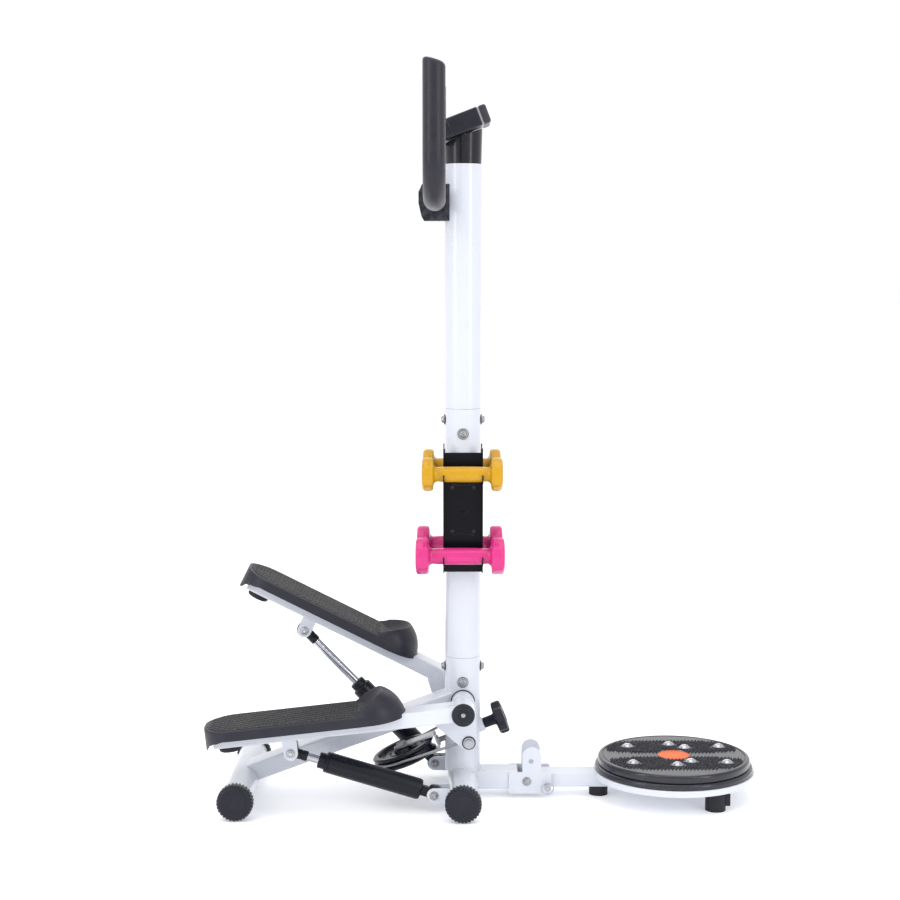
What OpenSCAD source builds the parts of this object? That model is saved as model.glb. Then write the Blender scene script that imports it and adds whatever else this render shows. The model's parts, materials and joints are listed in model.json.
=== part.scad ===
// Stepper with handlebar column, fold-out twister plate and dumbbell holders.
// Units are millimetres. +X is the way the user faces, +Z is up and the floor is z = 0.
// Every sub-part is written with the column axis at X = 0; place() moves it to the part's frame.

/* [Column] */
// Outside diameter of the column tubes
column_d = 60; // [54:1:72]
// Wall of the column tubes
column_wall = 2; // [1.5:0.5:3]
// Height of the joint between the base post and the lower tube
post_seam_z = 242; // [235:1:300]
// Height of the joint between the lower and the upper tube
tube_seam_z = 662; // [640:1:800]
// Height of the top of the upper tube
column_top_z = 1065; // [1000:1:1280]
// Length of the spigot below each joint
spigot_len = 58; // [50:1:60]

/* [Base] */
// Outside diameter of both stabilizer tubes
stabilizer_d = 50; // [40:1:54]
// Half length over the caps of the front stabilizer
front_half = 171; // [150:1:210]
// Half length over the caps of the rear stabilizer
rear_half = 160; // [140:1:200]
// Distance from the column axis back to the rear stabilizer
rear_x = 372; // [340:1:450]
// Outside diameter of the ribbed end caps
cap_d = 60; // [56:1:66]
// Length of the ribbed end caps
cap_len = 23; // [18:1:30]
// Width of the beam tubes
beam_w = 50; // [40:1:56]
// Height of the beam tubes
beam_h = 30; // [25:1:34]
// Wall of the beam and arm tubes
beam_wall = 2; // [1.5:0.5:3]
// Height of the main beam's centreline on the column axis
beam_top_z = 174; // [165:1:190]

/* [Pedals] */
// Height of the pedal axle
pivot_z = 168; // [160:1:172]
// Angle of the lowered pedal arm, heel end down
down_angle = 6.4; // [4:0.2:8]
// Swing of each pedal arm
swing = 33; // [26:1:34]
// Diameter of the pedal axle
axle_d = 20; // [16:1:22]
// Outside diameter of the arm's pivot sleeve
sleeve_d = 38; // [32:1:44]
// Distance from the centre plane to each pedal's centreline
pedal_y = 95; // [90:1:115]
// Length of an arm from the axle
arm_len = 413; // [340:1:500]
// Width of an arm tube
arm_w = 50; // [40:1:56]
// Height of an arm tube
arm_h = 25; // [20:1:30]
// Width of a footplate
foot_w = 120; // [100:1:130]
// Length of a footplate
foot_len = 333; // [290:1:350]
// Thickness of the footplate's edge
foot_edge = 17; // [14:1:20]
// Height of the toe stop above the footplate's deck
toe_h = 36; // [24:1:40]

/* [Cylinders] */
// Distance along the arm to the rod pivot
rod_pivot_along = 290; // [280:1:300]
// Distance below the arm's centreline to the rod pivot
rod_pivot_below = 36; // [30:1:40]
// Distance from the column axis back to the lower pivot
foot_pivot_x = 48; // [44:1:54]
// Outside diameter of a cylinder's barrel
barrel_d = 35; // [30:1:40]
// Length of a cylinder's barrel
barrel_len = 166; // [150:1:168]
// Diameter of a cylinder's rod
rod_d = 14; // [11:1:16]
// Diameter of the pivot bolts
pivot_bolt_d = 8; // [6:1:9]

/* [Pulley] */
// Slope of the adjusting screw
screw_slope = 21; // [18:1:24]
// Height at which the screw's axis crosses the column axis
screw_z = 109.5; // [106:0.5:112]
// Diameter of the adjusting screw
screw_d = 10; // [8:1:12]
// Outside radius of the pulley wheel
wheel_r = 55; // [45:1:58]
// Thickness of the pulley wheel
wheel_t = 22; // [18:1:24]
// Diameter of the rope
rope_d = 5; // [4:0.5:6]
// Distance from the axle to the rope's anchor on each lever
anchor_r = 61; // [55:1:64]
// Diameter of the adjusting knob
knob_d = 57; // [50:1:60]

/* [Twister] */
// Distance from the column axis to the twister's centre
twister_x = 360; // [350:1:400]
// Radius of the white pan
pan_r = 137; // [120:1:150]
// Radius of the turning disc
disc_r = 129; // [110:1:136]
// Distance from the column axis to the fold pivot
fold_x = 108.4; // [100:1:112]
// Height of the fold pivot
fold_z = 29.5; // [28:0.5:32]
// Width of the twister's tube
tube_w = 40; // [34:1:42]
// Height of the twister's tube
tube_h = 25; // [20:1:28]

/* [Dumbbells] */
// Height of the upper pair
upper_bell_z = 558; // [550:1:600]
// Height of the lower pair
lower_bell_z = 422; // [400:1:430]
// Distance from the centre plane to a dumbbell's axis
bell_y = 66; // [62:1:74]
// Overall length of an upper dumbbell
upper_bell_len = 136; // [120:1:160]
// Overall length of a lower dumbbell
lower_bell_len = 150; // [130:1:160]

/* [Handlebar] */
// Height of the handlebar's cross run
bar_z = 1005; // [960:1:1030]
// Height of the grips' top
grip_top_z = 1222; // [1180:1:1400]
// Distance from the centre plane to each upright grip
grip_y = 177; // [150:1:210]
// Diameter of the handlebar tube
bar_d = 25; // [22:1:28]
// Outside diameter of the foam grips
foam_d = 36; // [32:1:40]
// Bend radius of the handlebar
bend_r = 65; // [50:1:80]

/* [Console] */
// Slope of the console
console_slope = 21; // [12:1:26]
// Length of the console
console_len = 106; // [90:1:120]
// Width of the console
console_w = 108; // [90:1:120]
// Thickness of the console
console_t = 31; // [24:1:36]

/* [Fits] */
// Gap between pieces that are welded or pressed together
weld_gap = 0.05; // [0.02:0.01:0.1]
// Gap between pieces that move past each other
run_gap = 0.3; // [0.2:0.05:0.5]
// Radial clearance of a shaft in its bore
bore_gap = 0.05; // [0.03:0.01:0.1]

/* [Hidden] */
$fn = 48;
right = -1;
left = 1;
eps = 0.01;

// Colours
white_paint = [0.93, 0.94, 0.97];
black_plastic = [0.07, 0.07, 0.08];
grey_foam = [0.17, 0.17, 0.20];
zinc = [0.72, 0.73, 0.75];
chrome = [0.80, 0.80, 0.82];
yellow = [0.88, 0.68, 0.10];
pink = [0.90, 0.27, 0.58];

// Column
column_r = column_d / 2;
bore_r = column_r - column_wall;
spigot_r = bore_r - 0.2;
stabilizer_r = stabilizer_d / 2;
cap_r = cap_d / 2;
stabilizer_z = cap_r;
post_bottom_z = stabilizer_z + 15;
joint_side_drop = 19;
joint_front_drop = 41;
holder_bolt_z = (upper_bell_z + lower_bell_z) / 2 - 4;

// Base
stabilizer_wall = 2;
cap_floor = 5;
cap_teeth = 30;
tooth_h = 2;
beam_aim_z = stabilizer_z + 7;
beam_slope = atan((beam_top_z - beam_aim_z) / rear_x);
front_beam_z = post_bottom_z - beam_h / 2;
tube_round = 3;

// Pedals
washer_t = 3;
sleeve_in = column_r + washer_t + 2 * run_gap;
sleeve_out = pedal_y + arm_w / 2;
up_angle = swing - down_angle;
foot_top = arm_h / 2 + 11.5;
foot_start = arm_len + 13 - foot_len;
foot_end = foot_start + foot_len;
heel_drop = 21;
toe_r = foot_w / 2 - 1;
scoop_r = toe_r * 1.227;
scoop_back = toe_r * 1.754;
scoop_up = toe_r * 0.886;
heel_r = foot_w * 0.4;
tread_inset = 7;
tread_t = 2;
tread_start = foot_start + 60;
lever_t = 5;
lever_y = pedal_y - arm_w / 2 - lever_t;
lever_weld_x = 62;
anchor_lead = -3;
bumper_d = 37;
bumper_h = 10;
bumper_inset = 24;

// Cylinders: distances are measured from each cylinder's lower pivot
foot_pivot_z = stabilizer_z - 1;
ear_r = 12;
ear_t = 3;
eye_w = 19;
eye_r = 13.5;
link_slack = 3.7;
ear_gap = 1;
barrel_start = 22.5;
collar_len = 11;
collar_d = 27;
rod_sleeve_d = 17;
rod_sleeve_len = 15;
rod_reach = 207;
piston_len = 10;
barrel_bore = barrel_d - 6;
rod_pin_d = pivot_bolt_d - 1;
eye_bore_r = rod_pin_d / 2 + link_slack;

function rod_pivot(angle) = [
    -rod_pivot_along * cos(angle) - rod_pivot_below * sin(angle),
    pivot_z + rod_pivot_along * sin(angle) - rod_pivot_below * cos(angle)];
function cylinder_run(angle) = rod_pivot(angle) - [-foot_pivot_x, foot_pivot_z];
function cylinder_angle(angle) = atan2(cylinder_run(angle)[1], -cylinder_run(angle)[0]);
function cylinder_len(angle) = norm(cylinder_run(angle));

// Pulley: distances along the screw's axis, from the column axis
web_t = 3;
web_x = -(column_r + 15);
wheel_gap = 3.2;
wheel_x = web_x - web_t - wheel_gap - wheel_r;
strap_w = 28;
strap_t = 3;
strap_z = wheel_t / 2 + 1.2;
groove_r = wheel_r - 2;
groove_slack = 1.7;
groove_seat = 1.4;
groove_flare = 5.5;
weld_nut_t = 2.6;
boss_d = 24;
boss_end = column_r + 8;
knob_start = boss_end + 0.5;
knob_hub = 21;
knob_t = 17;
screw_end = knob_start + knob_hub + 4;
screw_travel = 6;
knob_bore_end = screw_end + screw_travel + 1;

// The anchor's place on the screw's plane, for an arm at this angle
function anchor_point(angle) = [
    -anchor_lead * cos(angle) - anchor_r * sin(angle),
    pivot_z + anchor_lead * sin(angle) - anchor_r * cos(angle) - screw_z];
function on_screw(p) = [
    p[0] * cos(screw_slope) + p[1] * sin(screw_slope),
    p[1] * cos(screw_slope) - p[0] * sin(screw_slope)];
anchor_eye_r = 8;

// Twister
tube_top = fold_z + tube_h / 2;
tube_bottom = fold_z - tube_h / 2;
tube_back = 6.5;
hinge_ear_in = beam_w / 2;
hinge_ear_t = 3;
beam_end = fold_x - 15.5;
lock_dx = 34.3;
lock_dz = -7;
pin_d = 8;
pin_travel = 12;
pull_ring_r = 10;
pan_top = tube_top + 2;
pan_rim_z = pan_top - 10;
lower_disc_t = 10;
lower_disc_r = pan_r - 3;
disc_bottom = pan_top + lower_disc_t + 0.4;
disc_top = disc_bottom + 13.6;
tube_foot_x = twister_x - 128;
foot_dx = 59;
foot_dy = 91;
foot_d = 34;
dome_d = 20;
dome_h = 6;
dome_spots = [[-74, 51], [-1, 63], [24, 43], [84, 49]];

// Dumbbells
holder_half = 33;
holder_t = 2;
holder_in = column_r + 0.2;
holder_top = upper_bell_z + 32;
holder_bottom = lower_bell_z - 32;
flange_depth = 16;
hook_t = 4;
upper_handle_d = 26;
lower_handle_d = 28;
upper_head_d = 54;
lower_head_d = 60;
upper_head_len = 21;
lower_head_len = 24;

// Handlebar and console
bar_x = -(column_r + 16.5);
clamp_half = 20;
grip_slope = 16;
cap_height = 45;
cap_flare = 2.5;
console_seat = 3;
console_step = 38;
back_len = 14;
button_d = 9;

// The part's frame has its origin below the middle of the bounding box
heel_x = -(foot_end * cos(down_angle) + foot_top * sin(down_angle));
centre_x = (twister_x + pan_r + heel_x) / 2;

// ---------- helpers ----------

module place() translate([-centre_x, 0, 0]) children();

// A round bar along Y from y0 to y1
module rod_y(d, y0, y1) translate([0, y0, 0]) rotate([-90, 0, 0]) cylinder(d = d, h = y1 - y0);

// A round bar along X from x0 to x1
module rod_x(d, x0, x1) translate([x0, 0, 0]) rotate([0, 90, 0]) cylinder(d = d, h = x1 - x0);

// A round bar between two points
module rod_between(p, q, d) {
    run = q - p;
    translate(p) rotate([0, acos(run[2] / norm(run)), atan2(run[1], run[0])])
        cylinder(d = d, h = norm(run));
}

// A rectangle with round corners, centred on the origin
module round_rect(w, h, r) {
    square([w - 2 * r, h], center = true);
    square([w, h - 2 * r], center = true);
    for (sx = [-1, 1], sy = [-1, 1]) translate([sx * (w / 2 - r), sy * (h / 2 - r)]) circle(r);
}

// A solid rectangular bar along X from x0 to x1, w wide and h high, with round edges
module block_x(w, h, x0, x1, r = tube_round)
    translate([x0, 0, 0]) rotate([90, 0, 90]) linear_extrude(x1 - x0) round_rect(w, h, r);

// A rectangular tube along X; its ends stay open
module tube_x(w, h, x0, x1, wall) difference() {
    block_x(w, h, x0, x1);
    block_x(w - 2 * wall, h - 2 * wall, x0 - 1, x1 + 1, 1);
}

// A flat plate in the XZ plane from y0 to y1; its outline's Y is the height
module plate_y(y0, y1) translate([0, y1, 0]) rotate([90, 0, 0]) linear_extrude(y1 - y0) children();

// A hexagon head with a round washer under it, along +Z from the seat
module bolt_head(washer_d, head_d, washer = 1.5, head = 5) {
    cylinder(d = washer_d, h = washer);
    translate([0, 0, washer - eps]) cylinder(d = head_d, h = head, $fn = 6);
}

// A pedal arm's frame: +X towards the heel, +Y outwards, +Z up
module arm_frame(side) translate([0, 0, pivot_z]) rotate([0, side == right ? -down_angle : up_angle, 0])
    mirror([1, 0, 0]) outwards(side) children();

// Turns +Y to point away from the centre plane on either side
module outwards(side) {
    if (side == right) mirror([0, 1, 0]) children();
    else children();
}

// A cylinder's frame: +X from the lower pivot to the rod's pivot, in the plane of its pedal
module cylinder_frame(side) {
    angle = side == right ? -down_angle : up_angle;
    translate([-foot_pivot_x, side * pedal_y, foot_pivot_z])
        rotate([0, cylinder_angle(angle), 0]) mirror([1, 0, 0]) children();
}

// The screw's frame: +X up along the screw's axis, +Z across the pulley wheel
module screw_frame() translate([0, 0, screw_z]) rotate([0, -screw_slope, 0]) children();

// The fold's place for a point on the twister's tube turned up by a quarter turn
function folded(dx, dz) = [fold_x - dz, fold_z + dx];

// ---------- column ----------

// A spigot with the two bolt lines of a column joint drilled through
module joint_holes(seam) {
    translate([0, 0, seam - joint_side_drop]) rod_x(8.4, -column_d, column_d);
    translate([0, 0, seam - joint_front_drop]) rod_y(8.4, -column_d, 0);
}

module column_tube(bottom, top) difference() {
    union() {
        translate([0, 0, bottom]) cylinder(r = column_r, h = top - bottom, $fn = 96);
        translate([0, 0, bottom - spigot_len]) cylinder(r = spigot_r, h = spigot_len + 5, $fn = 96);
    }
    translate([0, 0, bottom - spigot_len - 1])
        cylinder(r = spigot_r - 2, h = top - bottom + spigot_len + 2, $fn = 96);
    joint_holes(bottom);
}

// The tube above a joint sits on the lower tube's rim and its spigot goes inside
module open_top(seam) difference() {
    children();
    translate([0, 0, seam - spigot_len - 5]) cylinder(r = bore_r, h = spigot_len + 6, $fn = 96);
    joint_holes(seam);
}

module base_post() color(white_paint) place() difference() {
    union() {
        translate([0, 0, post_bottom_z])
            cylinder(r = column_r, h = post_seam_z - post_bottom_z, $fn = 96);
        screw_frame() rod_x(boss_d, 0, boss_end);
    }
    translate([0, 0, post_bottom_z - 1])
        cylinder(r = bore_r, h = post_seam_z - post_bottom_z + 2, $fn = 96);
    translate([0, 0, stabilizer_z]) rod_y(stabilizer_d + 2 * weld_gap, -column_d, column_d);
    translate([0, 0, pivot_z]) rod_y(axle_d + 2 * weld_gap, -column_d, column_d);
    screw_frame() rod_x(screw_d + 2 * run_gap, -2 * column_d, 2 * column_d);
    joint_holes(post_seam_z);
}

module lower_column() color(white_paint) place() open_top(tube_seam_z) difference() {
    column_tube(post_seam_z, tube_seam_z);
    for (y = [-1, 1]) translate([0, 0, holder_bolt_z])
        rod_y(8.4, y > 0 ? 0 : -column_d, y > 0 ? column_d : 0);
}

module upper_column() color(white_paint) place() difference() {
    column_tube(tube_seam_z, column_top_z);
    translate([0, 0, bar_z - 13]) rod_x(8.4, -column_d, 0);
}

module column_bolts() color(zinc) place() {
    for (seam = [post_seam_z, tube_seam_z]) {
        for (s = [-1, 1]) translate([s * (column_r + 0.2), 0, seam - joint_side_drop])
            rotate([0, s * 90, 0]) {
                bolt_head(18, 13);
                translate([0, 0, -9]) cylinder(d = 8, h = 9.5);
            }
        translate([0, -column_r - 0.2, seam - joint_front_drop]) rotate([90, 0, 0]) {
            bolt_head(18, 13);
            translate([0, 0, -9]) cylinder(d = 8, h = 9.5);
        }
    }
    for (s = [-1, 1]) translate([0, s * (holder_in + holder_t), holder_bolt_z])
        rotate([-s * 90, 0, 0]) {
            bolt_head(18, 13, 1.5, 4);
            translate([0, 0, -11]) cylinder(d = 8, h = 11.5);
        }
}

// ---------- base ----------

module stabilizer(x, half) translate([x, 0, stabilizer_z]) difference() {
    rod_y(stabilizer_d, -half + cap_floor, half - cap_floor, $fn = 96);
    rod_y(stabilizer_d - 2 * stabilizer_wall, -half, half, $fn = 96);
}

module front_stabilizer() color(white_paint) place() stabilizer(0, front_half);
module rear_stabilizer() color(white_paint) place() stabilizer(-rear_x, rear_half);

// A cup of rubber with teeth round its rim; its closed face is at z = 0
module ribbed_cap() difference() {
    linear_extrude(cap_len) polygon([
        for (i = [0 : cap_teeth - 1], k = [0 : 3])
            let (a = (i + [0, 0.5, 0.62, 0.88][k]) * 360 / cap_teeth - 90 - 360 / cap_teeth / 4,
                 r = k < 2 ? cap_r : cap_r - tooth_h)
            r * [cos(a), sin(a)]]);
    translate([0, 0, cap_floor]) cylinder(d = stabilizer_d + 2 * weld_gap, h = cap_len);
}

module stabilizer_caps() color(black_plastic) place()
    for (spot = [[0, front_half], [-rear_x, rear_half]], s = [-1, 1])
        translate([spot[0], s * spot[1], stabilizer_z]) rotate([s * 90, 0, 0]) ribbed_cap();

module main_beam() color(white_paint) place() difference() {
    translate([0, 0, beam_top_z]) rotate([0, -beam_slope, 0])
        tube_x(beam_w, beam_h, -rear_x / cos(beam_slope), 0, beam_wall);
    cylinder(r = column_r + weld_gap, h = post_seam_z, $fn = 96);
    translate([-rear_x, 0, stabilizer_z]) rod_y(stabilizer_d + 2 * weld_gap, -beam_w, beam_w, $fn = 96);
}

module front_beam() color(white_paint) place() difference() {
    translate([0, 0, front_beam_z]) tube_x(beam_w, beam_h, 0, beam_end, beam_wall);
    translate([0, 0, stabilizer_z]) rod_y(stabilizer_d + 2 * weld_gap, -beam_w, beam_w, $fn = 96);
}

// Outline of one hinge ear: a low plate with a round-topped tower
module ear_outline() difference() {
    union() {
        translate([(beam_end - 15 + fold_x + 41.6) / 2, fold_z - 3])
            round_rect(fold_x + 56.6 - beam_end, 37, 4);
        translate([fold_x - 7.4, fold_z]) square([32, 42.5]);
        translate([fold_x + 8.6, fold_z + 42.5]) circle(16);
    }
    translate([fold_x, fold_z]) circle(d = pivot_bolt_d + 2 * weld_gap);
    translate([fold_x + lock_dx, fold_z + lock_dz]) circle(d = pin_d + 2 * run_gap);
    translate(folded(lock_dx, lock_dz)) circle(d = pin_d + 2 * run_gap);
}

module hinge_ears() color(white_paint) place() {
    for (s = [0, 1]) translate([0, -s * (2 * hinge_ear_in + hinge_ear_t), 0])
        plate_y(hinge_ear_in, hinge_ear_in + hinge_ear_t) ear_outline();
    translate([beam_end + 8, -hinge_ear_in, fold_z - 21.5])
        cube([fold_x + 41.6 - 6 - beam_end - 8, 2 * hinge_ear_in, 3]);
}

module axle() color(zinc) place() translate([0, 0, pivot_z])
    rod_y(axle_d, -sleeve_out - 0.2, sleeve_out + 0.2);

module axle_washers() color(black_plastic) place() translate([0, 0, pivot_z])
    for (s = [-1, 1]) difference() {
        rod_y(sleeve_d + 3, s > 0 ? column_r + run_gap : -column_r - run_gap - washer_t,
            s > 0 ? column_r + run_gap + washer_t : -column_r - run_gap);
        rod_y(axle_d + 2 * bore_gap, -sleeve_out, sleeve_out);
    }

module axle_caps() color(black_plastic) place() translate([0, 0, pivot_z])
    for (s = [-1, 1]) rotate([-s * 90, 0, 0]) translate([0, 0, sleeve_out + run_gap])
        rotate_extrude($fn = 64) polygon([
            [0, 0], [sleeve_d / 2, 0], [sleeve_d / 2, 3], [sleeve_d / 2 - 1.5, 5],
            [sleeve_d / 2 - 5, 6.5], [8.5, 6.5], [7, 4.5], [0, 4.5]]);

// A pair of ears on the back of the front stabilizer for each cylinder
module cylinder_ears() color(white_paint) place()
    for (side = [right, left], s = [-1, 1]) difference() {
        middle = side * pedal_y + s * (eye_w / 2 + ear_gap + ear_t / 2);
        plate_y(middle - ear_t / 2, middle + ear_t / 2) difference() {
            union() {
                translate([-foot_pivot_x, foot_pivot_z]) circle(ear_r);
                translate([-foot_pivot_x, foot_pivot_z - ear_r]) square([foot_pivot_x - 12, 2 * ear_r]);
            }
            translate([-foot_pivot_x, foot_pivot_z]) circle(d = pivot_bolt_d + 2 * weld_gap);
            translate([0, stabilizer_z]) circle(stabilizer_r + weld_gap, $fn = 96);
        }
    }

// The fold's bolt and the cylinders' lower bolts
module pivot_bolts() color(zinc) place() {
    translate([fold_x, 0, fold_z]) pin_with_heads(hinge_ear_in + hinge_ear_t);
    for (side = [right, left]) translate([-foot_pivot_x, side * pedal_y, foot_pivot_z])
        pin_with_heads(eye_w / 2 + ear_gap + ear_t);
}

// A bolt along Y whose heads seat at this distance on each side
module pin_with_heads(seat, d = pivot_bolt_d) {
    rod_y(d, -seat - 1, seat + 1);
    for (s = [-1, 1]) rotate([-s * 90, 0, 0]) translate([0, 0, seat + weld_gap]) {
        cylinder(d = 15, h = 1);
        translate([0, 0, 1 - eps]) cylinder(d = 12, h = 4);
    }
}

// ---------- pedals ----------

module arm(side) arm_frame(side) difference() {
    union() {
        rod_y(sleeve_d, sleeve_in, sleeve_out, $fn = 64);
        translate([0, pedal_y, 0]) block_x(arm_w, arm_h, 0, arm_len);
    }
    translate([0, pedal_y, 0])
        block_x(arm_w - 2 * beam_wall, arm_h - 2 * beam_wall, sleeve_d / 2, arm_len - 2, 1);
    rod_y(axle_d + 2 * bore_gap, 0, 2 * sleeve_out);
}

// A gusset under the arm; the rope's anchor is at its lowest corner
module lever(side) arm_frame(side) plate_y(lever_y, lever_y + lever_t - weld_gap) difference() {
    union() {
        polygon([
            [-sleeve_d / 2 - 2, 0], [anchor_lead - 14, -anchor_r + 2],
            [anchor_lead - 4, -anchor_r - 13], [anchor_lead + 9, -anchor_r - 11],
            [lever_weld_x, -arm_h / 2], [lever_weld_x, 4], [0, 8]]);
        circle(sleeve_d / 2 + 2);
        translate([anchor_lead, -anchor_r]) circle(14);
    }
    circle(sleeve_d / 2 + weld_gap, $fn = 64);
    translate([anchor_lead, -anchor_r]) circle(d = 8 + 2 * weld_gap);
}

// Bolt through the lever with the rope's eye on its inner end
module rope_anchor(side) arm_frame(side) translate([anchor_lead, 0, -anchor_r]) {
    rod_y(8, groove_r - 4, lever_y + lever_t + 2);
    rod_y(2 * anchor_eye_r, groove_r - 4, groove_r + 4);
    rod_y(13, groove_r + 4 - eps, lever_y - weld_gap);
    translate([0, lever_y + lever_t + weld_gap, 0]) rotate([-90, 0, 0]) {
        cylinder(d = 19, h = 2.5);
        translate([0, 0, 2.5 - eps]) cylinder(d = 13, h = 5);
    }
}

// Plan of the footplate, from the toe at x0 to the heel at x1, drawn in by inset
module foot_plan(x0, x1, inset, nose_r) {
    half = foot_w / 2 - inset;
    r1 = heel_r - inset;
    translate([x0 + nose_r, -half]) square([x1 - x0 - nose_r - r1, 2 * half]);
    intersection() {
        translate([x0 + nose_r, 0]) circle(nose_r, $fn = 96);
        translate([x0, -half]) square([nose_r + 1, 2 * half]);
    }
    translate([x1 - r1 - 1, -half + r1]) square([r1 + 1, 2 * (half - r1)]);
    for (s = [-1, 1]) translate([x1 - r1, s * (half - r1)]) circle(r1, $fn = 72);
}

// Deck with a skirt that deepens at the heel, and a toe stop: a ball with a scoop for the toes
module footplate(side) arm_frame(side) translate([0, pedal_y, 0]) difference() {
    union() {
        intersection() {
            translate([0, 0, foot_top - 60]) linear_extrude(60)
                foot_plan(foot_start, foot_end, 0, toe_r);
            plate_y(-foot_w, foot_w) polygon([
                [foot_start + toe_r, foot_top + 1], [foot_start + toe_r, foot_top - foot_edge],
                [foot_end - 36, foot_top - foot_edge], [foot_end - 20, foot_top - foot_edge - 4],
                [foot_end - 10, foot_top - foot_edge - 8],
                [foot_end - 4, foot_top - foot_edge - heel_drop + 4],
                [foot_end + 1, foot_top - foot_edge - heel_drop + 1], [foot_end + 1, foot_top + 1]]);
        }
        intersection() {
            translate([foot_start + toe_r, 0, foot_top + toe_h - toe_r]) sphere(toe_r, $fn = 96);
            translate([foot_start - 1, -foot_w, foot_top - foot_edge])
                cube([2 * toe_r, 2 * foot_w, foot_edge + toe_h + 1]);
        }
    }
    intersection() {
        translate([foot_start + scoop_back, 0, foot_top + scoop_up]) sphere(scoop_r, $fn = 96);
        translate([foot_start, -foot_w, foot_top]) cube([foot_len, 2 * foot_w, 2 * scoop_r]);
    }
    translate([0, 0, foot_top - tread_t]) linear_extrude(60)
        foot_plan(tread_start, foot_end - tread_inset, tread_inset, 20);
    translate([0, -arm_w / 2 - run_gap, -arm_h / 2 - 5])
        cube([arm_len + run_gap, arm_w + 2 * run_gap, arm_h + 5]);
}

module tread(side) arm_frame(side) translate([0, pedal_y, foot_top - tread_t])
    linear_extrude(tread_t + 0.3)
        foot_plan(tread_start + 0.1, foot_end - tread_inset - 0.1, tread_inset + 0.1, 20);

module bumper(side) arm_frame(side)
    translate([arm_len - bumper_inset, pedal_y, -arm_h / 2 - bumper_h])
        rotate_extrude() polygon([[0, 0], [bumper_d / 2 - 2, 0], [bumper_d / 2, 2], [bumper_d / 2, bumper_h],
            [0, bumper_h]]);

// Two ears under the arm with the pin that the rod's eye hangs on
module bracket(side) arm_frame(side) translate([0, pedal_y, 0]) {
    inner = eye_w / 2 + ear_gap;
    for (s = [-1, 1]) plate_y(s > 0 ? inner : -inner - ear_t, s > 0 ? inner + ear_t : -inner) {
        translate([rod_pivot_along, -rod_pivot_below]) circle(ear_r);
        translate([rod_pivot_along - ear_r, -rod_pivot_below])
            square([2 * ear_r, rod_pivot_below - arm_h / 2]);
    }
    translate([rod_pivot_along, 0, -rod_pivot_below]) {
        rod_y(rod_pin_d, -inner - ear_t, inner + ear_t);
        for (s = [-1, 1]) rotate([-s * 90, 0, 0]) translate([0, 0, inner + ear_t - eps])
            cylinder(d = 12, h = 4);
    }
}

// ---------- cylinders ----------

module barrel(side) cylinder_frame(side) difference() {
    union() {
        rod_y(2 * eye_r, -eye_w / 2, eye_w / 2);
        block_x(eye_w - 3, 16, 0, barrel_start + 2, 2);
        rod_x(barrel_d, barrel_start, barrel_start + barrel_len, $fn = 64);
        rod_x(collar_d, barrel_start + barrel_len - eps, barrel_start + barrel_len + collar_len);
    }
    rod_x(barrel_bore, barrel_start + 6, barrel_start + barrel_len - 8);
    rod_x(rod_d + 2 * bore_gap, barrel_start + 20, barrel_start + barrel_len + 20);
    rod_y(pivot_bolt_d + 2 * bore_gap, -eye_w, eye_w);
}

module cylinder_rod(side) {
    reach = cylinder_len(side == right ? -down_angle : up_angle);
    cylinder_frame(side) {
        rod_x(rod_d, reach - rod_reach, reach - eye_r - rod_sleeve_len + 6);
        rod_x(barrel_bore - 0.2, reach - rod_reach, reach - rod_reach + piston_len);
    }
}

module rod_eye(side) {
    reach = cylinder_len(side == right ? -down_angle : up_angle);
    cylinder_frame(side) difference() {
        union() {
            translate([reach, 0, 0]) rod_y(2 * eye_r, -eye_w / 2 + 1, eye_w / 2 - 1);
            rod_x(rod_sleeve_d, reach - eye_r - rod_sleeve_len, reach - eye_bore_r);
        }
        translate([reach, 0, 0]) rod_y(2 * eye_bore_r, -eye_w, eye_w);
        rod_x(rod_d + 2 * weld_gap, reach - 60, reach - eye_r - rod_sleeve_len + 6 + weld_gap);
    }
}

// ---------- pulley and rope ----------

module wheel() color(black_plastic) place() screw_frame() translate([wheel_x, 0, 0])
    rotate_extrude($fn = 96) difference() {
        union() {
            translate([screw_d / 2 + bore_gap, -wheel_t / 2]) square([11, wheel_t]);
            translate([14, -5]) square([wheel_r - 24, 10]);
            translate([wheel_r - 13, -wheel_t / 2 + 2]) square([13, wheel_t - 4]);
            translate([wheel_r - 11, -wheel_t / 2]) square([9, wheel_t]);
        }
        translate([groove_r + groove_seat, 0]) circle(rope_d / 2 + groove_slack);
        translate([groove_r + groove_seat, 0]) polygon([
            [-1, -rope_d / 2 - groove_slack + 0.2], [3, -rope_d / 2 - groove_flare],
            [3, rope_d / 2 + groove_flare], [-1, rope_d / 2 + groove_slack - 0.2]]);
    }

// A U-shaped strap round the wheel, with the adjusting screw on its web
module fork() color(zinc) place() screw_frame() {
    difference() {
        union() {
            translate([web_x - web_t, -strap_w / 2, -strap_z - strap_t])
                cube([web_t, strap_w, 2 * (strap_z + strap_t)]);
            for (s = [-1, 1]) translate([0, 0, s > 0 ? strap_z : -strap_z - strap_t]) {
                translate([wheel_x, -strap_w / 2, 0]) cube([web_x - wheel_x, strap_w, strap_t]);
                translate([wheel_x, 0, 0]) cylinder(d = strap_w, h = strap_t);
            }
        }
        translate([wheel_x, 0, -strap_z - 10]) cylinder(d = screw_d + 2 * bore_gap, h = 2 * strap_z + 20);
    }
    rod_x(screw_d, web_x - eps, screw_end);
    rod_x(18, web_x - eps, web_x + weld_nut_t, $fn = 6);
}

module wheel_bolt() color(zinc) place() screw_frame() translate([wheel_x, 0, 0]) {
    reach = strap_z + strap_t;
    translate([0, 0, -reach - 1]) cylinder(d = screw_d, h = 2 * reach + 2);
    for (s = [-1, 1]) translate([0, 0, s > 0 ? reach + weld_gap : -reach - weld_gap - 5])
        cylinder(d = 17, h = 5, $fn = 6);
}

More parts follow.
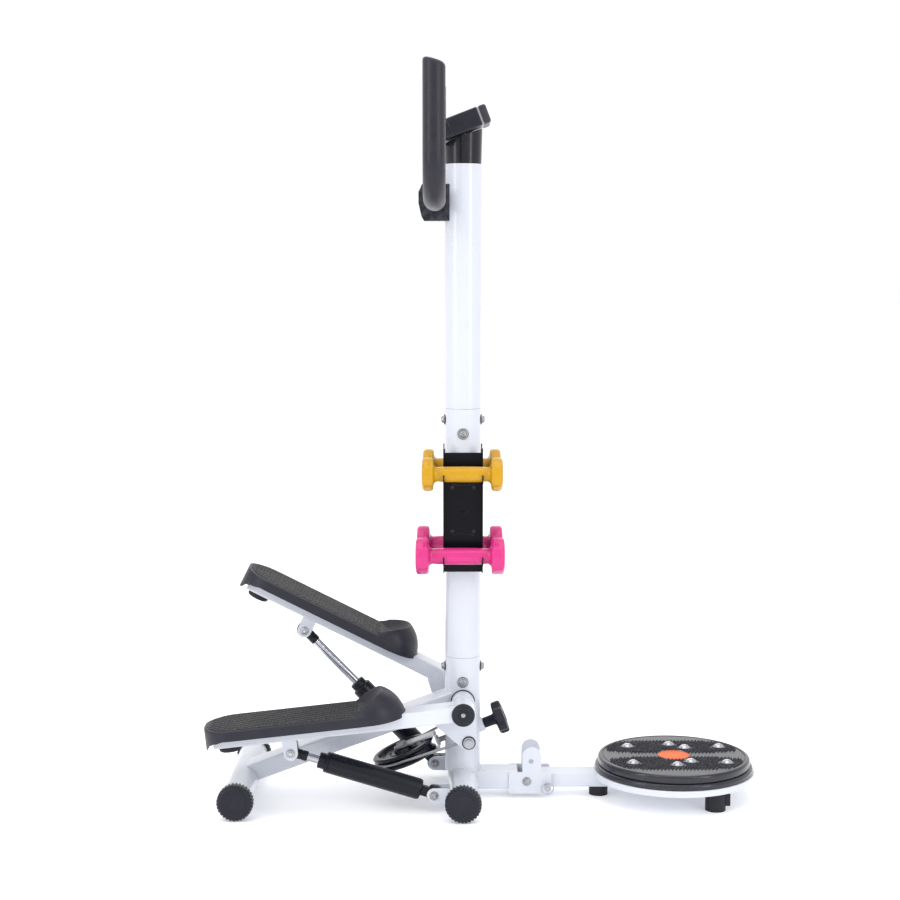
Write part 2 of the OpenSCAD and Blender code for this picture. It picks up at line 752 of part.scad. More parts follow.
module knob() color(black_plastic) place() screw_frame() difference() {
    union() {
        rod_x(18, knob_start, knob_start + knob_hub + 1);
        translate([knob_start + knob_hub, 0, 0]) rotate([0, 90, 0]) {
            cylinder(d = knob_d - 12, h = knob_t);
            for (a = [0 : 60 : 300]) rotate([0, 0, a]) translate([knob_d / 2 - 9, 0, 0])
                cylinder(d = 18, h = knob_t - 2);
        }
    }
    rod_x(screw_d + 2 * bore_gap, 0, knob_bore_end);
}

// Rope from one lever's anchor round the wheel to the other's, with a knuckle where each run leaves
module rope() color(zinc) place() screw_frame() {
    translate([wheel_x, 0, 0]) rotate([0, 0, 90]) rotate_extrude(angle = 180, $fn = 96)
        translate([groove_r, 0]) circle(d = rope_d);
    for (side = [right, left]) {
        eye = on_screw(anchor_point(side == right ? -down_angle : up_angle));
        start = [wheel_x, side * groove_r, 0];
        run = [eye[0], side * groove_r, eye[1]] - start;
        translate(start) sphere(d = rope_d + 0.2);
        rod_between(start, start + run * (1 - (anchor_eye_r + run_gap) / norm(run)), rope_d);
    }
}

// ---------- twister ----------

module twister_tube() color(white_paint) place() difference() {
    translate([0, 0, fold_z]) tube_x(tube_w, tube_h, fold_x - tube_back, twister_x + 30, beam_wall);
    translate([fold_x, 0, fold_z]) rod_y(pivot_bolt_d + 2 * bore_gap, -tube_w, tube_w);
    translate([fold_x + lock_dx, 0, fold_z + lock_dz]) rod_y(pin_d + 2 * run_gap, -tube_w, tube_w);
}

// A shallow pan turned over, with a notch in its rim for the tube
module twister_pan() color(white_paint) place() difference() {
    translate([twister_x, 0, 0]) rotate_extrude($fn = 120) polygon([
        [0, pan_top - 2], [pan_r - 2, pan_top - 2], [pan_r - 2, pan_rim_z], [pan_r, pan_rim_z],
        [pan_r, pan_top - 1], [pan_r - 1, pan_top], [0, pan_top]]);
    translate([fold_x, -tube_w / 2 - 0.2, 0])
        cube([twister_x - fold_x, tube_w + 0.4, tube_top]);
}

module twister_feet() color(black_plastic) place() {
    translate([tube_foot_x, 0, 0]) cylinder(d = foot_d - 2, h = tube_bottom);
    for (s = [-1, 1]) translate([twister_x + foot_dx, s * foot_dy, 0]) {
        cylinder(d = foot_d, h = pan_rim_z - 2);
        cylinder(d = foot_d - 14, h = pan_top - 2);
        translate([foot_d / 2 - 3, -6, 8]) cube([10, 12, 20]);
    }
}

module lower_disc() color(black_plastic) place() translate([twister_x, 0, pan_top])
    rotate_extrude($fn = 120) polygon([[0, 0], [lower_disc_r - 1, 0], [lower_disc_r, 1],
        [lower_disc_r, lower_disc_t - 3], [lower_disc_r - 3, lower_disc_t], [0, lower_disc_t]]);

module upper_disc() color(black_plastic) place() translate([twister_x, 0, disc_bottom])
    rotate_extrude($fn = 120) {
        square([disc_r, disc_top - disc_bottom - 4]);
        square([disc_r - 4, disc_top - disc_bottom]);
        translate([disc_r - 4, disc_top - disc_bottom - 4]) circle(4);
    }

module disc_domes() color(chrome) place()
    for (spot = dome_spots, s = [-1, 1]) translate([twister_x + spot[0], s * spot[1], disc_top]) {
        ball = (dome_d * dome_d / 4 + dome_h * dome_h) / 2 / dome_h;
        intersection() {
            translate([0, 0, dome_h - ball]) sphere(ball);
            cylinder(d = dome_d + 2, h = dome_h + 1);
        }
    }

// The lock pin stands pulled back, with its tip clear of the tube
module lock_pin() color(zinc) place() translate([fold_x + lock_dx, 0, fold_z + lock_dz]) {
    out = hinge_ear_in + hinge_ear_t + pin_travel + 0.5;
    rod_y(pin_d, -out - 3, -tube_w / 2 - run_gap);
    rod_y(12, -out - 4, -out);
    rod_y(5, -out - 7, -out - 3);
    translate([0, -out - 6, 0]) rotate([90, 0, 0]) rotate_extrude() translate([pull_ring_r, 0]) circle(1);
    translate([0, -out - 6, -pull_ring_r]) cylinder(d = 2, h = 2 * pull_ring_r);
}

// ---------- dumbbells ----------

// Outline of a holder's flange: a shallow strip with two hooks, seen along X
module flange_outline() {
    difference() {
        union() {
            translate([holder_in, holder_bottom]) square([flange_depth, holder_top + 8 - holder_bottom]);
            for (bell = [[upper_bell_z, upper_handle_d], [lower_bell_z, lower_handle_d]]) {
                r = bell[1] / 2 + run_gap + hook_t;
                translate([bell_y, bell[0]]) circle(r);
                translate([holder_in, bell[0] - r]) square([bell_y - holder_in, r]);
            }
        }
        for (bell = [[upper_bell_z, upper_handle_d], [lower_bell_z, lower_handle_d]]) {
            r = bell[1] / 2 + run_gap;
            translate([bell_y, bell[0]]) circle(r);
            translate([bell_y - r, bell[0]]) square([r * 3, 60]);
        }
        translate([holder_in + flange_depth, holder_bottom]) polygon([
            [0, -1], [60, -1], [60, 8], [30, 8], [0, -0.5]]);
    }
}

module dumbbell_holder() {
    difference() {
        translate([-holder_half, holder_in, holder_bottom])
            cube([2 * holder_half, holder_t, holder_top - holder_bottom]);
        translate([0, 0, holder_bolt_z]) rod_y(8.4, 0, 2 * column_d);
    }
    for (s = [-1, 1]) translate([s > 0 ? holder_half - holder_t : -holder_half, 0, 0])
        rotate([90, 0, 90]) linear_extrude(holder_t) flange_outline();
}

module dumbbell_holders() color(black_plastic) place() {
    dumbbell_holder();
    mirror([0, 1, 0]) dumbbell_holder();
}

// A dumbbell along X: two rounded heads on a handle
module dumbbell(length, handle_d, head_d, head_len) rotate([0, 90, 0]) {
    rod = length / 2 - head_len + 1;
    translate([0, 0, -rod]) cylinder(d = handle_d, h = 2 * rod);
    for (s = [0, 1]) mirror([0, 0, s]) translate([0, 0, length / 2 - head_len]) intersection() {
        rotate_extrude() polygon([
            [0, 0], [head_d / 2 - 6, 0], [head_d / 2 - 1, 3], [head_d / 2, 6],
            [head_d / 2, head_len - 6], [head_d / 2 - 3, head_len - 2],
            [head_d / 2 - 9, head_len], [0, head_len]]);
        cylinder(d = head_d * 1.08, h = head_len, $fn = 6);
    }
}

module upper_dumbbell(side) color(yellow) place() translate([-1.5, side * bell_y, upper_bell_z])
    dumbbell(upper_bell_len, upper_handle_d, upper_head_d, upper_head_len);

module lower_dumbbell(side) color(pink) place() translate([-5, side * bell_y, lower_bell_z])
    dumbbell(lower_bell_len, lower_handle_d, lower_head_d, lower_head_len);

// ---------- handlebar and console ----------

// One half of a bent bar: half of the cross run, the bend and the upright, as a solid
module bent_bar(d, from_y, top) {
    turn = grip_y - bend_r;
    translate([bar_x, 0, bar_z]) rod_y(d, from_y, turn + eps);
    translate([bar_x, turn, bar_z + bend_r]) rotate([90, 0, 90]) rotate([0, 0, -90])
        rotate_extrude(angle = 90, $fn = 64) translate([bend_r, 0]) circle(d = d);
    translate([bar_x, grip_y, bar_z + bend_r - eps]) cylinder(d = d, h = top - bar_z - bend_r);
}

module both_sides() {
    children();
    mirror([0, 1, 0]) children();
}

module handlebar() color(black_plastic) place() difference() {
    both_sides() bent_bar(bar_d, -1, grip_top_z - 25);
    both_sides() bent_bar(bar_d - 4, -1, grip_top_z - 20);
}

// A grip round the bar: cross run, bend and upright, each with the bar's bore
module foam_grip() {
    bore = bar_d + 2 * weld_gap;
    turn = grip_y - bend_r;
    translate([bar_x, 0, bar_z]) difference() {
        rod_y(foam_d, clamp_half + 6, turn);
        rod_y(bore, 0, grip_y);
    }
    translate([bar_x, turn, bar_z + bend_r]) rotate([90, 0, 90]) rotate([0, 0, -90])
        rotate_extrude(angle = 90, $fn = 64) translate([bend_r, 0]) difference() {
            circle(d = foam_d);
            circle(d = bore);
        }
    difference() {
        translate([bar_x, grip_y, bar_z + bend_r])
            cylinder(d = foam_d, h = grip_top_z - bar_z - bend_r + 10);
        translate([bar_x, grip_y, 0]) cylinder(d = bore, h = grip_top_z - 24);
        translate([bar_x - foam_d / 2, grip_y, grip_top_z]) rotate([0, grip_slope, 0])
            translate([-60, -60, 0]) cube([200, 120, 60]);
    }
}

module foam_grips() color(grey_foam) place() both_sides() foam_grip();

module handlebar_clamp() color(black_plastic) place() difference() {
    plate_y(-clamp_half, clamp_half) polygon([
        [-column_r + 10, bar_z - 33], [bar_x - 18, bar_z - 33], [bar_x - 22, bar_z - 26],
        [bar_x - 27, bar_z - 4], [bar_x - 27, bar_z + 14], [bar_x - 21, bar_z + 27],
        [-column_r + 10, bar_z + 27]]);
    translate([0, 0, bar_z - 40]) cylinder(r = column_r + weld_gap, h = 80, $fn = 96);
    translate([bar_x, 0, bar_z]) rod_y(bar_d + 2 * weld_gap, -clamp_half - 1, clamp_half + 1);
}

// The slanted plane on the cap's top carries the console
module console_frame() translate([0, 0, column_top_z + cap_height])
    rotate([0, -console_slope, 0]) children();

module column_cap() color(black_plastic) place() {
    difference() {
        union() {
            translate([0, 0, column_top_z]) cylinder(r1 = column_r, r2 = column_r + cap_flare,
                h = 2 * cap_height, $fn = 96);
            translate([0, 0, column_top_z - 20]) cylinder(r = spigot_r - 2 - weld_gap, h = 21, $fn = 96);
        }
        console_frame() translate([-150, -150, 0]) cube([300, 300, 200]);
    }
    console_frame() translate([-4, 0, -eps]) cylinder(d = 44, h = console_seat - run_gap);
}

module console() color(black_plastic) place() console_frame() {
    right_end = column_r + 20;
    left_end = right_end - console_len;
    difference() {
        union() {
            translate([0, 0, console_seat + console_t / 2])
                block_x(console_w, console_t, left_end + console_step, right_end - back_len - 0.5, 4);
            translate([0, 0, console_seat + console_t / 2 - 2])
                block_x(console_w - 5, console_t - 4, left_end, left_end + console_step + eps, 6);
        }
        translate([left_end + console_step + 5, -36, console_seat + console_t - 1.5]) cube([46, 72, 10]);
        translate([left_end + console_step / 2, 0, console_seat + console_t - 9])
            cylinder(d = button_d + 2 * run_gap, h = 20);
    }
}

module console_back() color([0.25, 0.25, 0.27]) place() console_frame() {
    right_end = column_r + 20;
    translate([0, 0, console_seat + console_t / 2])
        block_x(console_w, console_t, right_end - back_len, right_end, 4);
}

module display() color([0.35, 0.42, 0.38]) place() console_frame()
    translate([column_r + 20 - console_len + console_step + 5.2, -35.8, console_seat + console_t - 1.5])
        cube([45.6, 71.6, 1.2]);

module button() color([0.85, 0.10, 0.10]) place() console_frame()
    translate([column_r + 20 - console_len + console_step / 2, 0, console_seat + console_t - 6])
        cylinder(d = button_d, h = 4.5);

// ---------- pieces that come in pairs ----------

module right_arm() color(white_paint) place() arm(right);
module left_arm() color(white_paint) place() arm(left);
module right_lever() color(white_paint) place() lever(right);
module left_lever() color(white_paint) place() lever(left);
module right_rope_anchor() color(zinc) place() rope_anchor(right);
module left_rope_anchor() color(zinc) place() rope_anchor(left);
module right_footplate() color(grey_foam) place() footplate(right);
module left_footplate() color(grey_foam) place() footplate(left);
module right_tread() color([0.24, 0.22, 0.21]) place() tread(right);
module left_tread() color([0.24, 0.22, 0.21]) place() tread(left);
module right_bumper() color(black_plastic) place() bumper(right);
module left_bumper() color(black_plastic) place() bumper(left);
module right_bracket() color(white_paint) place() bracket(right);
module left_bracket() color(white_paint) place() bracket(left);
module right_barrel() color(black_plastic) place() barrel(right);
module left_barrel() color(black_plastic) place() barrel(left);
module right_rod() color(chrome) place() cylinder_rod(right);
module left_rod() color(chrome) place() cylinder_rod(left);
module right_rod_eye() color(black_plastic) place() rod_eye(right);
module left_rod_eye() color(black_plastic) place() rod_eye(left);
module right_upper_dumbbell() upper_dumbbell(right);
module left_upper_dumbbell() upper_dumbbell(left);
module right_lower_dumbbell() lower_dumbbell(right);
module left_lower_dumbbell() lower_dumbbell(left);

base_post();
lower_column();
upper_column();
front_stabilizer();
rear_stabilizer();
stabilizer_caps();
main_beam();
front_beam();
hinge_ears();
column_bolts();
axle();
axle_washers();
axle_caps();
cylinder_ears();
pivot_bolts();
column_cap();
console();
console_back();
display();
button();
handlebar();
foam_grips();
handlebar_clamp();
dumbbell_holders();
rope();
right_arm();
right_lever();
right_rope_anchor();
right_footplate();
right_tread();
right_bumper();
right_bracket();
right_barrel();
right_rod();
right_rod_eye();
left_arm();
left_lever();
left_rope_anchor();
left_footplate();
left_tread();
left_bumper();
left_bracket();
left_barrel();
left_rod();
left_rod_eye();
fork();
wheel_bolt();
wheel();
knob();
twister_tube();
twister_pan();
twister_feet();
lower_disc();
upper_disc();
disc_domes();
lock_pin();
right_upper_dumbbell();
left_upper_dumbbell();
right_lower_dumbbell();
left_lower_dumbbell();
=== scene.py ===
"""Looks of the stepper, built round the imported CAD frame. Metres, +Z up, +X the way the user faces."""

import json
import math
import random

import bmesh
import bpy
from mathutils import Matrix, Vector


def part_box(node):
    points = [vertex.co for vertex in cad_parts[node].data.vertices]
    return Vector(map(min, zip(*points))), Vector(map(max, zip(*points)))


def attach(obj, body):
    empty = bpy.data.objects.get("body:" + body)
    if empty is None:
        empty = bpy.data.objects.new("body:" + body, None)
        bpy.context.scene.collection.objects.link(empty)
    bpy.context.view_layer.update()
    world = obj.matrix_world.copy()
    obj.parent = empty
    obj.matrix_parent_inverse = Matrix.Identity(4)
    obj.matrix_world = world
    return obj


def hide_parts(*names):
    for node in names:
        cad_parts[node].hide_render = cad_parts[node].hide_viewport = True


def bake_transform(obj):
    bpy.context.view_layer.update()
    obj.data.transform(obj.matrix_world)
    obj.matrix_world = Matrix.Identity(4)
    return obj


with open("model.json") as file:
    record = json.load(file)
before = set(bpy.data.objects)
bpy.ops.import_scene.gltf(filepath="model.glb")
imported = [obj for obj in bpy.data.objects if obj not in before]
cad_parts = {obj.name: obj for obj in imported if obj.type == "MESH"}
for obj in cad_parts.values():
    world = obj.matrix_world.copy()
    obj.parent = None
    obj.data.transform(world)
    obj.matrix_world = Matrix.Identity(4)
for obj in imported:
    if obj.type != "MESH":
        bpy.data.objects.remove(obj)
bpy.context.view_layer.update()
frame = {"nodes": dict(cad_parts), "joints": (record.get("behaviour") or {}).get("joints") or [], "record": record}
NODES = frame["nodes"]
SLOT_OF = {s["node"]: s["material_slot"] for s in frame["record"]["subparts"]}
JOINTS = {j["name"]: j for j in frame["joints"]}
MM = 0.001
SIDES = {"right": -1, "left": 1}

# The column's axis and radius, from the upper tube's box
column_low, column_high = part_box("upper_column")
COLUMN_X = (column_low.x + column_high.x) / 2
COLUMN_R = (column_high.x - column_low.x) / 2

# ---------- camera, lights and world ---------

camera_data = bpy.data.cameras.new("camera")
camera_data.lens = 72
camera_data.sensor_width = 36
camera = bpy.data.objects.new("camera", camera_data)
camera.location = (COLUMN_X - 0.0217, -3.0, 0.916)
camera.rotation_euler = (math.radians(83.82), 0, 0)
bpy.context.scene.collection.objects.link(camera)
bpy.context.scene.camera = camera
bpy.context.scene.view_settings.view_transform = "Standard"


def area_light(name, place, size, power):
    """A soft box aimed at the middle of the object."""
    data = bpy.data.lights.new(name, "AREA")
    data.shape = "RECTANGLE"
    data.size, data.size_y = size
    data.energy = power
    light = bpy.data.objects.new(name, data)
    light.location = place
    light.rotation_euler = (Vector((0, 0, 0.45)) - Vector(place)).to_track_quat("-Z", "Y").to_euler()
    bpy.context.scene.collection.objects.link(light)


area_light("overhead", (0, -0.3, 3.4), (3.0, 3.0), 34)
area_light("left_box", (-2.6, -1.9, 1.7), (0.8, 2.4), 26)
area_light("right_box", (2.4, -2.2, 1.5), (0.6, 2.2), 22)
area_light("back_wash", (0, 3.0, 2.4), (3.0, 2.0), 20)
area_light("left_spark", (-1.5, -2.7, 2.3), (0.3, 0.5), 7)
area_light("right_spark", (1.7, -2.6, 1.9), (0.2, 0.5), 5)

world = bpy.data.worlds.new("studio")
bpy.context.scene.world = world
world.use_nodes = True
background = world.node_tree.nodes["Background"].inputs
background["Color"].default_value = (1.0, 1.0, 1.0, 1)
background["Strength"].default_value = 1.01

# ---------- materials ----------


class Shader:
    """A Principled material whose colour, roughness and bump come from procedural nodes."""

    def __init__(self, name, **sockets):
        self.material = bpy.data.materials.new(name)
        self.material.use_nodes = True
        self.nodes = self.material.node_tree.nodes
        self.links = self.material.node_tree.links
        self.principled = self.nodes["Principled BSDF"]
        self.coords = self.nodes.new("ShaderNodeTexCoord").outputs["Object"]
        self.normal = None
        for socket, value in sockets.items():
            self.principled.inputs[socket.replace("_", " ")].default_value = value

    def noise(self, scale, detail=3.0, roughness=0.55, stretch=(1, 1, 1)):
        mapping = self.nodes.new("ShaderNodeMapping")
        mapping.inputs["Scale"].default_value = stretch
        self.links.new(self.coords, mapping.inputs["Vector"])
        node = self.nodes.new("ShaderNodeTexNoise")
        node.inputs["Scale"].default_value = scale
        node.inputs["Detail"].default_value = detail
        node.inputs["Roughness"].default_value = roughness
        self.links.new(mapping.outputs["Vector"], node.inputs["Vector"])
        return node.outputs["Fac"]

    def cells(self, scale):
        node = self.nodes.new("ShaderNodeTexVoronoi")
        node.inputs["Scale"].default_value = scale
        self.links.new(self.coords, node.inputs["Vector"])
        return node.outputs["Distance"]

    def edges(self):
        """1 along sharp convex edges, 0 on flats and in hollows."""
        geometry = self.nodes.new("ShaderNodeNewGeometry")
        return self.remap(geometry.outputs["Pointiness"], 0.53, 0.62, 0.0, 1.0)

    def remap(self, value, low, high, out_low, out_high):
        node = self.nodes.new("ShaderNodeMapRange")
        ends = {"From Min": low, "From Max": high, "To Min": out_low, "To Max": out_high}
        for socket, number in ends.items():
            node.inputs[socket].default_value = number
        self.links.new(value, node.inputs["Value"])
        return node.outputs["Result"]

    def times(self, first, second):
        node = self.nodes.new("ShaderNodeMath")
        node.operation = "MULTIPLY"
        self.links.new(first, node.inputs[0])
        self.links.new(second, node.inputs[1])
        return node.outputs["Value"]

    def mix(self, factor, first, second):
        node = self.nodes.new("ShaderNodeMix")
        node.data_type = "RGBA"
        self.links.new(factor, node.inputs["Factor"])
        for socket, value in (("A", first), ("B", second)):
            target = next(i for i in node.inputs if i.name == socket and i.type == "RGBA")
            if isinstance(value, tuple):
                target.default_value = (*value, 1)
            else:
                self.links.new(value, target)
        return next(o for o in node.outputs if o.type == "RGBA")

    def colour(self, value):
        self.links.new(value, self.principled.inputs["Base Color"])

    def roughness(self, value):
        self.links.new(value, self.principled.inputs["Roughness"])

    def bump(self, value, distance, strength=1.0):
        node = self.nodes.new("ShaderNodeBump")
        node.inputs["Distance"].default_value = distance
        node.inputs["Strength"].default_value = strength
        self.links.new(value, node.inputs["Height"])
        if self.normal:
            self.links.new(self.normal, node.inputs["Normal"])
        self.normal = node.outputs["Normal"]
        self.links.new(self.normal, self.principled.inputs["Normal"])


def shade(base, factor):
    return tuple(min(1, c * factor) for c in base)


def varied(shader, base, spread, scale, rough, rough_spread, worn=0.0):
    """Colour and roughness that drift round their base, and edges that wear paler."""
    drift = shader.remap(shader.noise(scale, 4), 0.3, 0.7, 0, 1)
    colour = shader.mix(drift, shade(base, 1 - spread), shade(base, 1 + spread))
    if worn:
        rubbed = shader.times(shader.edges(), shader.remap(shader.noise(90, 3), 0.42, 0.62, 0.0, worn))
        colour = shader.mix(rubbed, colour, shade(tuple(c + 0.02 for c in base), 2.2))
    shader.colour(colour)
    shader.roughness(shader.remap(drift, 0, 1, rough - rough_spread, rough + rough_spread))


def painted(name, base, rough=0.3, orange_peel=0.00005, coat=0.35, specular=0.5):
    """Powder coat: fine orange peel under a clear gloss."""
    shader = Shader(name, Coat_Weight=coat, Coat_Roughness=0.1, Specular_IOR_Level=specular)
    varied(shader, base, 0.02, 14, rough, 0.05)
    shader.bump(shader.noise(420, 2), orange_peel, 0.4)
    shader.bump(shader.noise(60, 2), 0.0001, 0.2)
    return shader.material


def moulded(name, base, rough, grain, depth, spread=0.1, coat=0.0):
    """Moulded plastic with a fine spark grain, rubbed paler along its edges."""
    shader = Shader(name, Coat_Weight=coat, Coat_Roughness=0.12, Specular_IOR_Level=0.28)
    varied(shader, base, spread, 30, rough, 0.06, 0.5)
    shader.bump(shader.noise(grain, 3, 0.6), depth, 0.7)
    return shader.material


def plated(name, base, rough, stretch=(1, 1, 1)):
    """Plated or polished metal with fine brushing and a cloudy tarnish."""
    shader = Shader(name, Metallic=1.0)
    cloud = shader.remap(shader.noise(35, 4), 0.35, 0.7, 0, 1)
    shader.colour(shader.mix(cloud, base, shade(base, 0.8)))
    brushing = shader.noise(260, 2, 0.5, stretch)
    shader.roughness(shader.remap(brushing, 0.3, 0.7, rough * 0.7, rough * 1.3))
    shader.bump(brushing, 0.00003, 0.4)
    return shader.material


def foam():
    """Closed-cell foam: soft cells under a dull skin with a faint sheen."""
    shader = Shader("foam", Sheen_Weight=0.1, Sheen_Roughness=0.5, Specular_IOR_Level=0.3)
    varied(shader, (0.013, 0.0125, 0.020), 0.15, 60, 0.36, 0.08)
    shader.bump(shader.cells(900), 0.0002, 0.5)
    shader.bump(shader.noise(180, 3), 0.0003, 0.3)
    return shader.material


def rubber():
    """Black rubber with a little pale dust in its grain."""
    base = (0.014, 0.0145, 0.019)
    shader = Shader("rubber", Specular_IOR_Level=0.25)
    dust = shader.remap(shader.noise(24, 5), 0.45, 0.8, 0, 0.5)
    shader.colour(shader.mix(dust, base, shade(base, 2.2)))
    shader.roughness(shader.remap(dust, 0, 0.5, 0.5, 0.75))
    shader.bump(shader.noise(700, 2), 0.00008, 0.6)
    return shader.material


def vinyl(name, base):
    """Thick glossy vinyl dip with a soft ripple."""
    shader = Shader(name, Coat_Weight=0.5, Coat_Roughness=0.04, Specular_IOR_Level=0.15)
    varied(shader, base, 0.05, 26, 0.3, 0.05)
    shader.bump(shader.noise(90, 2), 0.00025, 0.3)
    shader.bump(shader.noise(600, 2), 0.00004, 0.3)
    return shader.material


def display_glass():
    """A grey liquid-crystal window under clear plastic, switched off."""
    shader = Shader("display_glass", Coat_Weight=1.0, Coat_Roughness=0.03)
    varied(shader, (0.13, 0.17, 0.15), 0.1, 12, 0.18, 0.03)
    shader.bump(shader.noise(900, 1), 0.00001, 0.2)
    return shader.material


def rope_wire():
    """Wire rope in a clear jacket."""
    shader = Shader("rope", Metallic=0.85, Coat_Weight=0.5, Coat_Roughness=0.2)
    varied(shader, (0.30, 0.31, 0.33), 0.15, 200, 0.35, 0.08)
    shader.bump(shader.noise(500, 2, 0.5, (1, 4, 1)), 0.0002, 0.6)
    return shader.material


def label(name, base):
    """A plain printed disc with a faint paper tooth."""
    shader = Shader(name, Specular_IOR_Level=0.2)
    varied(shader, base, 0.03, 40, 0.35, 0.05)
    shader.bump(shader.noise(900, 2), 0.00002, 0.4)
    return shader.material


MATERIALS = {
    "white_paint": painted("white_paint", (0.575, 0.60, 0.665)),
    "black_steel": painted("black_steel", (0.003, 0.003, 0.006), 0.3, 0.00005, 0.05, 0.12),
    "cylinder_black": painted("cylinder_black", (0.005, 0.006, 0.011), 0.3, 0.00008, 0.08, 0.22),
    "zinc": plated("zinc", (0.48, 0.49, 0.52), 0.4),
    "chrome": plated("chrome", (0.48, 0.485, 0.53), 0.1),
    "footplate_plastic": moulded("footplate_plastic", (0.017, 0.017, 0.026), 0.42, 800, 0.0001),
    "black_plastic": moulded("black_plastic", (0.010, 0.0105, 0.018), 0.38, 700, 0.00008),
    "gloss_black": moulded("gloss_black", (0.007, 0.007, 0.012), 0.26, 300, 0.00003, 0.05, 0.15),
    "console_grey": moulded("console_grey", (0.030, 0.030, 0.038), 0.4, 700, 0.00007),
    "red_button": moulded("red_button", (0.55, 0.03, 0.03), 0.3, 500, 0.00004),
    "disc_plastic": moulded("disc_plastic", (0.014, 0.0145, 0.022), 0.26, 500, 0.00005, 0.06, 0.4),
    "tread": moulded("tread", (0.034, 0.033, 0.036), 0.52, 900, 0.00012, 0.14),
    "rubber": rubber(),
    "foam": foam(),
    "yellow_vinyl": vinyl("yellow_vinyl", (0.51, 0.27, 0.001)),
    "pink_vinyl": vinyl("pink_vinyl", (0.58, 0.026, 0.19)),
    "display_glass": display_glass(),
    "rope": rope_wire(),
}
ORANGE_LABEL = label("orange_label", (0.84, 0.115, 0.002))
# Darker tread material for the low faces of the weave: painted shade in the grooves.
TREAD_GROOVE_SHADE = moulded("tread_groove_shade", (0.008, 0.008, 0.010), 0.6, 900, 0.0001)
# Pale grey seam line for the console; on the white column's tube joints the same material is a painted shadow
# line.
LIGHT_SEAM = moulded("light_seam", (0.26, 0.26, 0.29), 0.3, 700, 0.00004)
BOLT_ZINC = plated("bolt_zinc", (0.36, 0.365, 0.38), 0.3)
CUSHION_BLACK = moulded("cushion_black", (0.006, 0.006, 0.008), 0.4, 600, 0.00004)


def dress(obj, material):
    obj.data.materials.clear()
    obj.data.materials.append(material)


for node, obj in NODES.items():
    dress(obj, MATERIALS[SLOT_OF[node]])

# ---------- geometry helpers ----------


def axes(origin, x_axis, z_axis):
    """The matrix of a right-handed frame with these X and Z directions."""
    x, z = Vector(x_axis).normalized(), Vector(z_axis).normalized()
    matrix = Matrix((x, z.cross(x), z)).transposed().to_4x4()
    matrix.translation = Vector(origin)
    return matrix


def corners(points):
    """Lowest and highest corner of a set of points."""
    return tuple(Vector([pick(p[i] for p in points) for i in range(3)]) for pick in (min, max))


def local_box(node, matrix):
    """Lowest and highest corner of a CAD node in a frame of its own."""
    back = matrix.inverted()
    return corners([back @ v.co for v in NODES[node].data.vertices])


def mesh_object(name, verts, faces, material, matrix=None, crease=180):
    """A mesh in the row's frame: outward normals, smooth faces and sharp edges past crease degrees."""
    mesh = bpy.data.meshes.new(name)
    mesh.from_pydata([tuple(v) for v in verts], [], faces)
    if matrix is not None:
        mesh.transform(matrix)
    work = bmesh.new()
    work.from_mesh(mesh)
    bmesh.ops.remove_doubles(work, verts=work.verts, dist=1e-6)
    bmesh.ops.dissolve_degenerate(work, edges=work.edges, dist=1e-7)
    bmesh.ops.recalc_face_normals(work, faces=work.faces)
    work.to_mesh(mesh)
    work.free()
    mesh.shade_smooth()
    mesh.set_sharp_from_angle(angle=math.radians(crease))
    obj = bpy.data.objects.new(name, mesh)
    bpy.context.scene.collection.objects.link(obj)
    dress(obj, material)
    return obj


def piece(name, verts, faces, body, slot, replaces=(), matrix=None, crease=35, material=None):
    """A mesh object that rides a body, fills a material slot and may replace CAD nodes."""
    obj = mesh_object(name, verts, faces, material or MATERIALS[slot], matrix, crease)
    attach(obj, body)
    if replaces:
        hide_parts(*replaces)
    return obj


def loft(rings, closed=False):
    """Vertices and faces of a skin over rings of equal length, capped unless the run is closed."""
    count = len(rings[0])
    verts = [p for ring in rings for p in ring]
    faces = []
    for i in range(len(rings) if closed else len(rings) - 1):
        a, b = i * count, (i + 1) % len(rings) * count
        faces += [(a + k, a + (k + 1) % count, b + (k + 1) % count, b + k) for k in range(count)]
    if not closed:
        faces += [tuple(range(count)), tuple(range(len(verts) - count, len(verts)))]
    return verts, faces


def turns(count):
    """Angles of a full turn in equal steps."""
    return [2 * math.pi * k / count for k in range(count)]


def quarter(steps, first=0):
    """Angles of a quarter turn in equal steps, with its end."""
    return [math.pi / 2 * k / steps for k in range(first, steps + 1)]


def circle(centre, u, v, radius, count):
    """Points round a centre in the plane of u and v."""
    return [centre + u * (radius * math.cos(a)) + v * (radius * math.sin(a)) for a in turns(count)]


def lathe(profile, segments=64, shape=None):
    """A solid of revolution about Z from (z, radius) points; shape scales the radius by angle."""
    rings = []
    for z, radius in profile:
        reach = [max(radius, 1e-5) * (shape(a, z) if shape else 1) for a in turns(segments)]
        rings.append([Vector((r * math.cos(a), r * math.sin(a), z)) for a, r in zip(turns(segments), reach)])
    return loft(rings)


def joined(*parts):
    """Several (vertices, faces) pairs as one."""
    verts, faces = [], []
    for part_verts, part_faces in parts:
        start = len(verts)
        verts += list(part_verts)
        faces += [tuple(i + start for i in face) for face in part_faces]
    return verts, faces


def moved(part, matrix):
    return [matrix @ Vector(v) for v in part[0]], part[1]


def bead(path, radius, wobble=0.0, seed=1):
    """A round bead swept along a path of points; wobble makes it swell and shrink at random."""
    dice = random.Random(seed)
    rings, up = [], None
    for i, point in enumerate(path):
        along = (path[min(i + 1, len(path) - 1)] - path[max(i - 1, 0)]).normalized()
        side = along.orthogonal() if up is None else (up - along * up.dot(along))
        up = side.normalized()
        rings.append(circle(point, up, along.cross(up), radius * (1 + wobble * dice.uniform(-1, 1)), 8))
    return loft(rings)


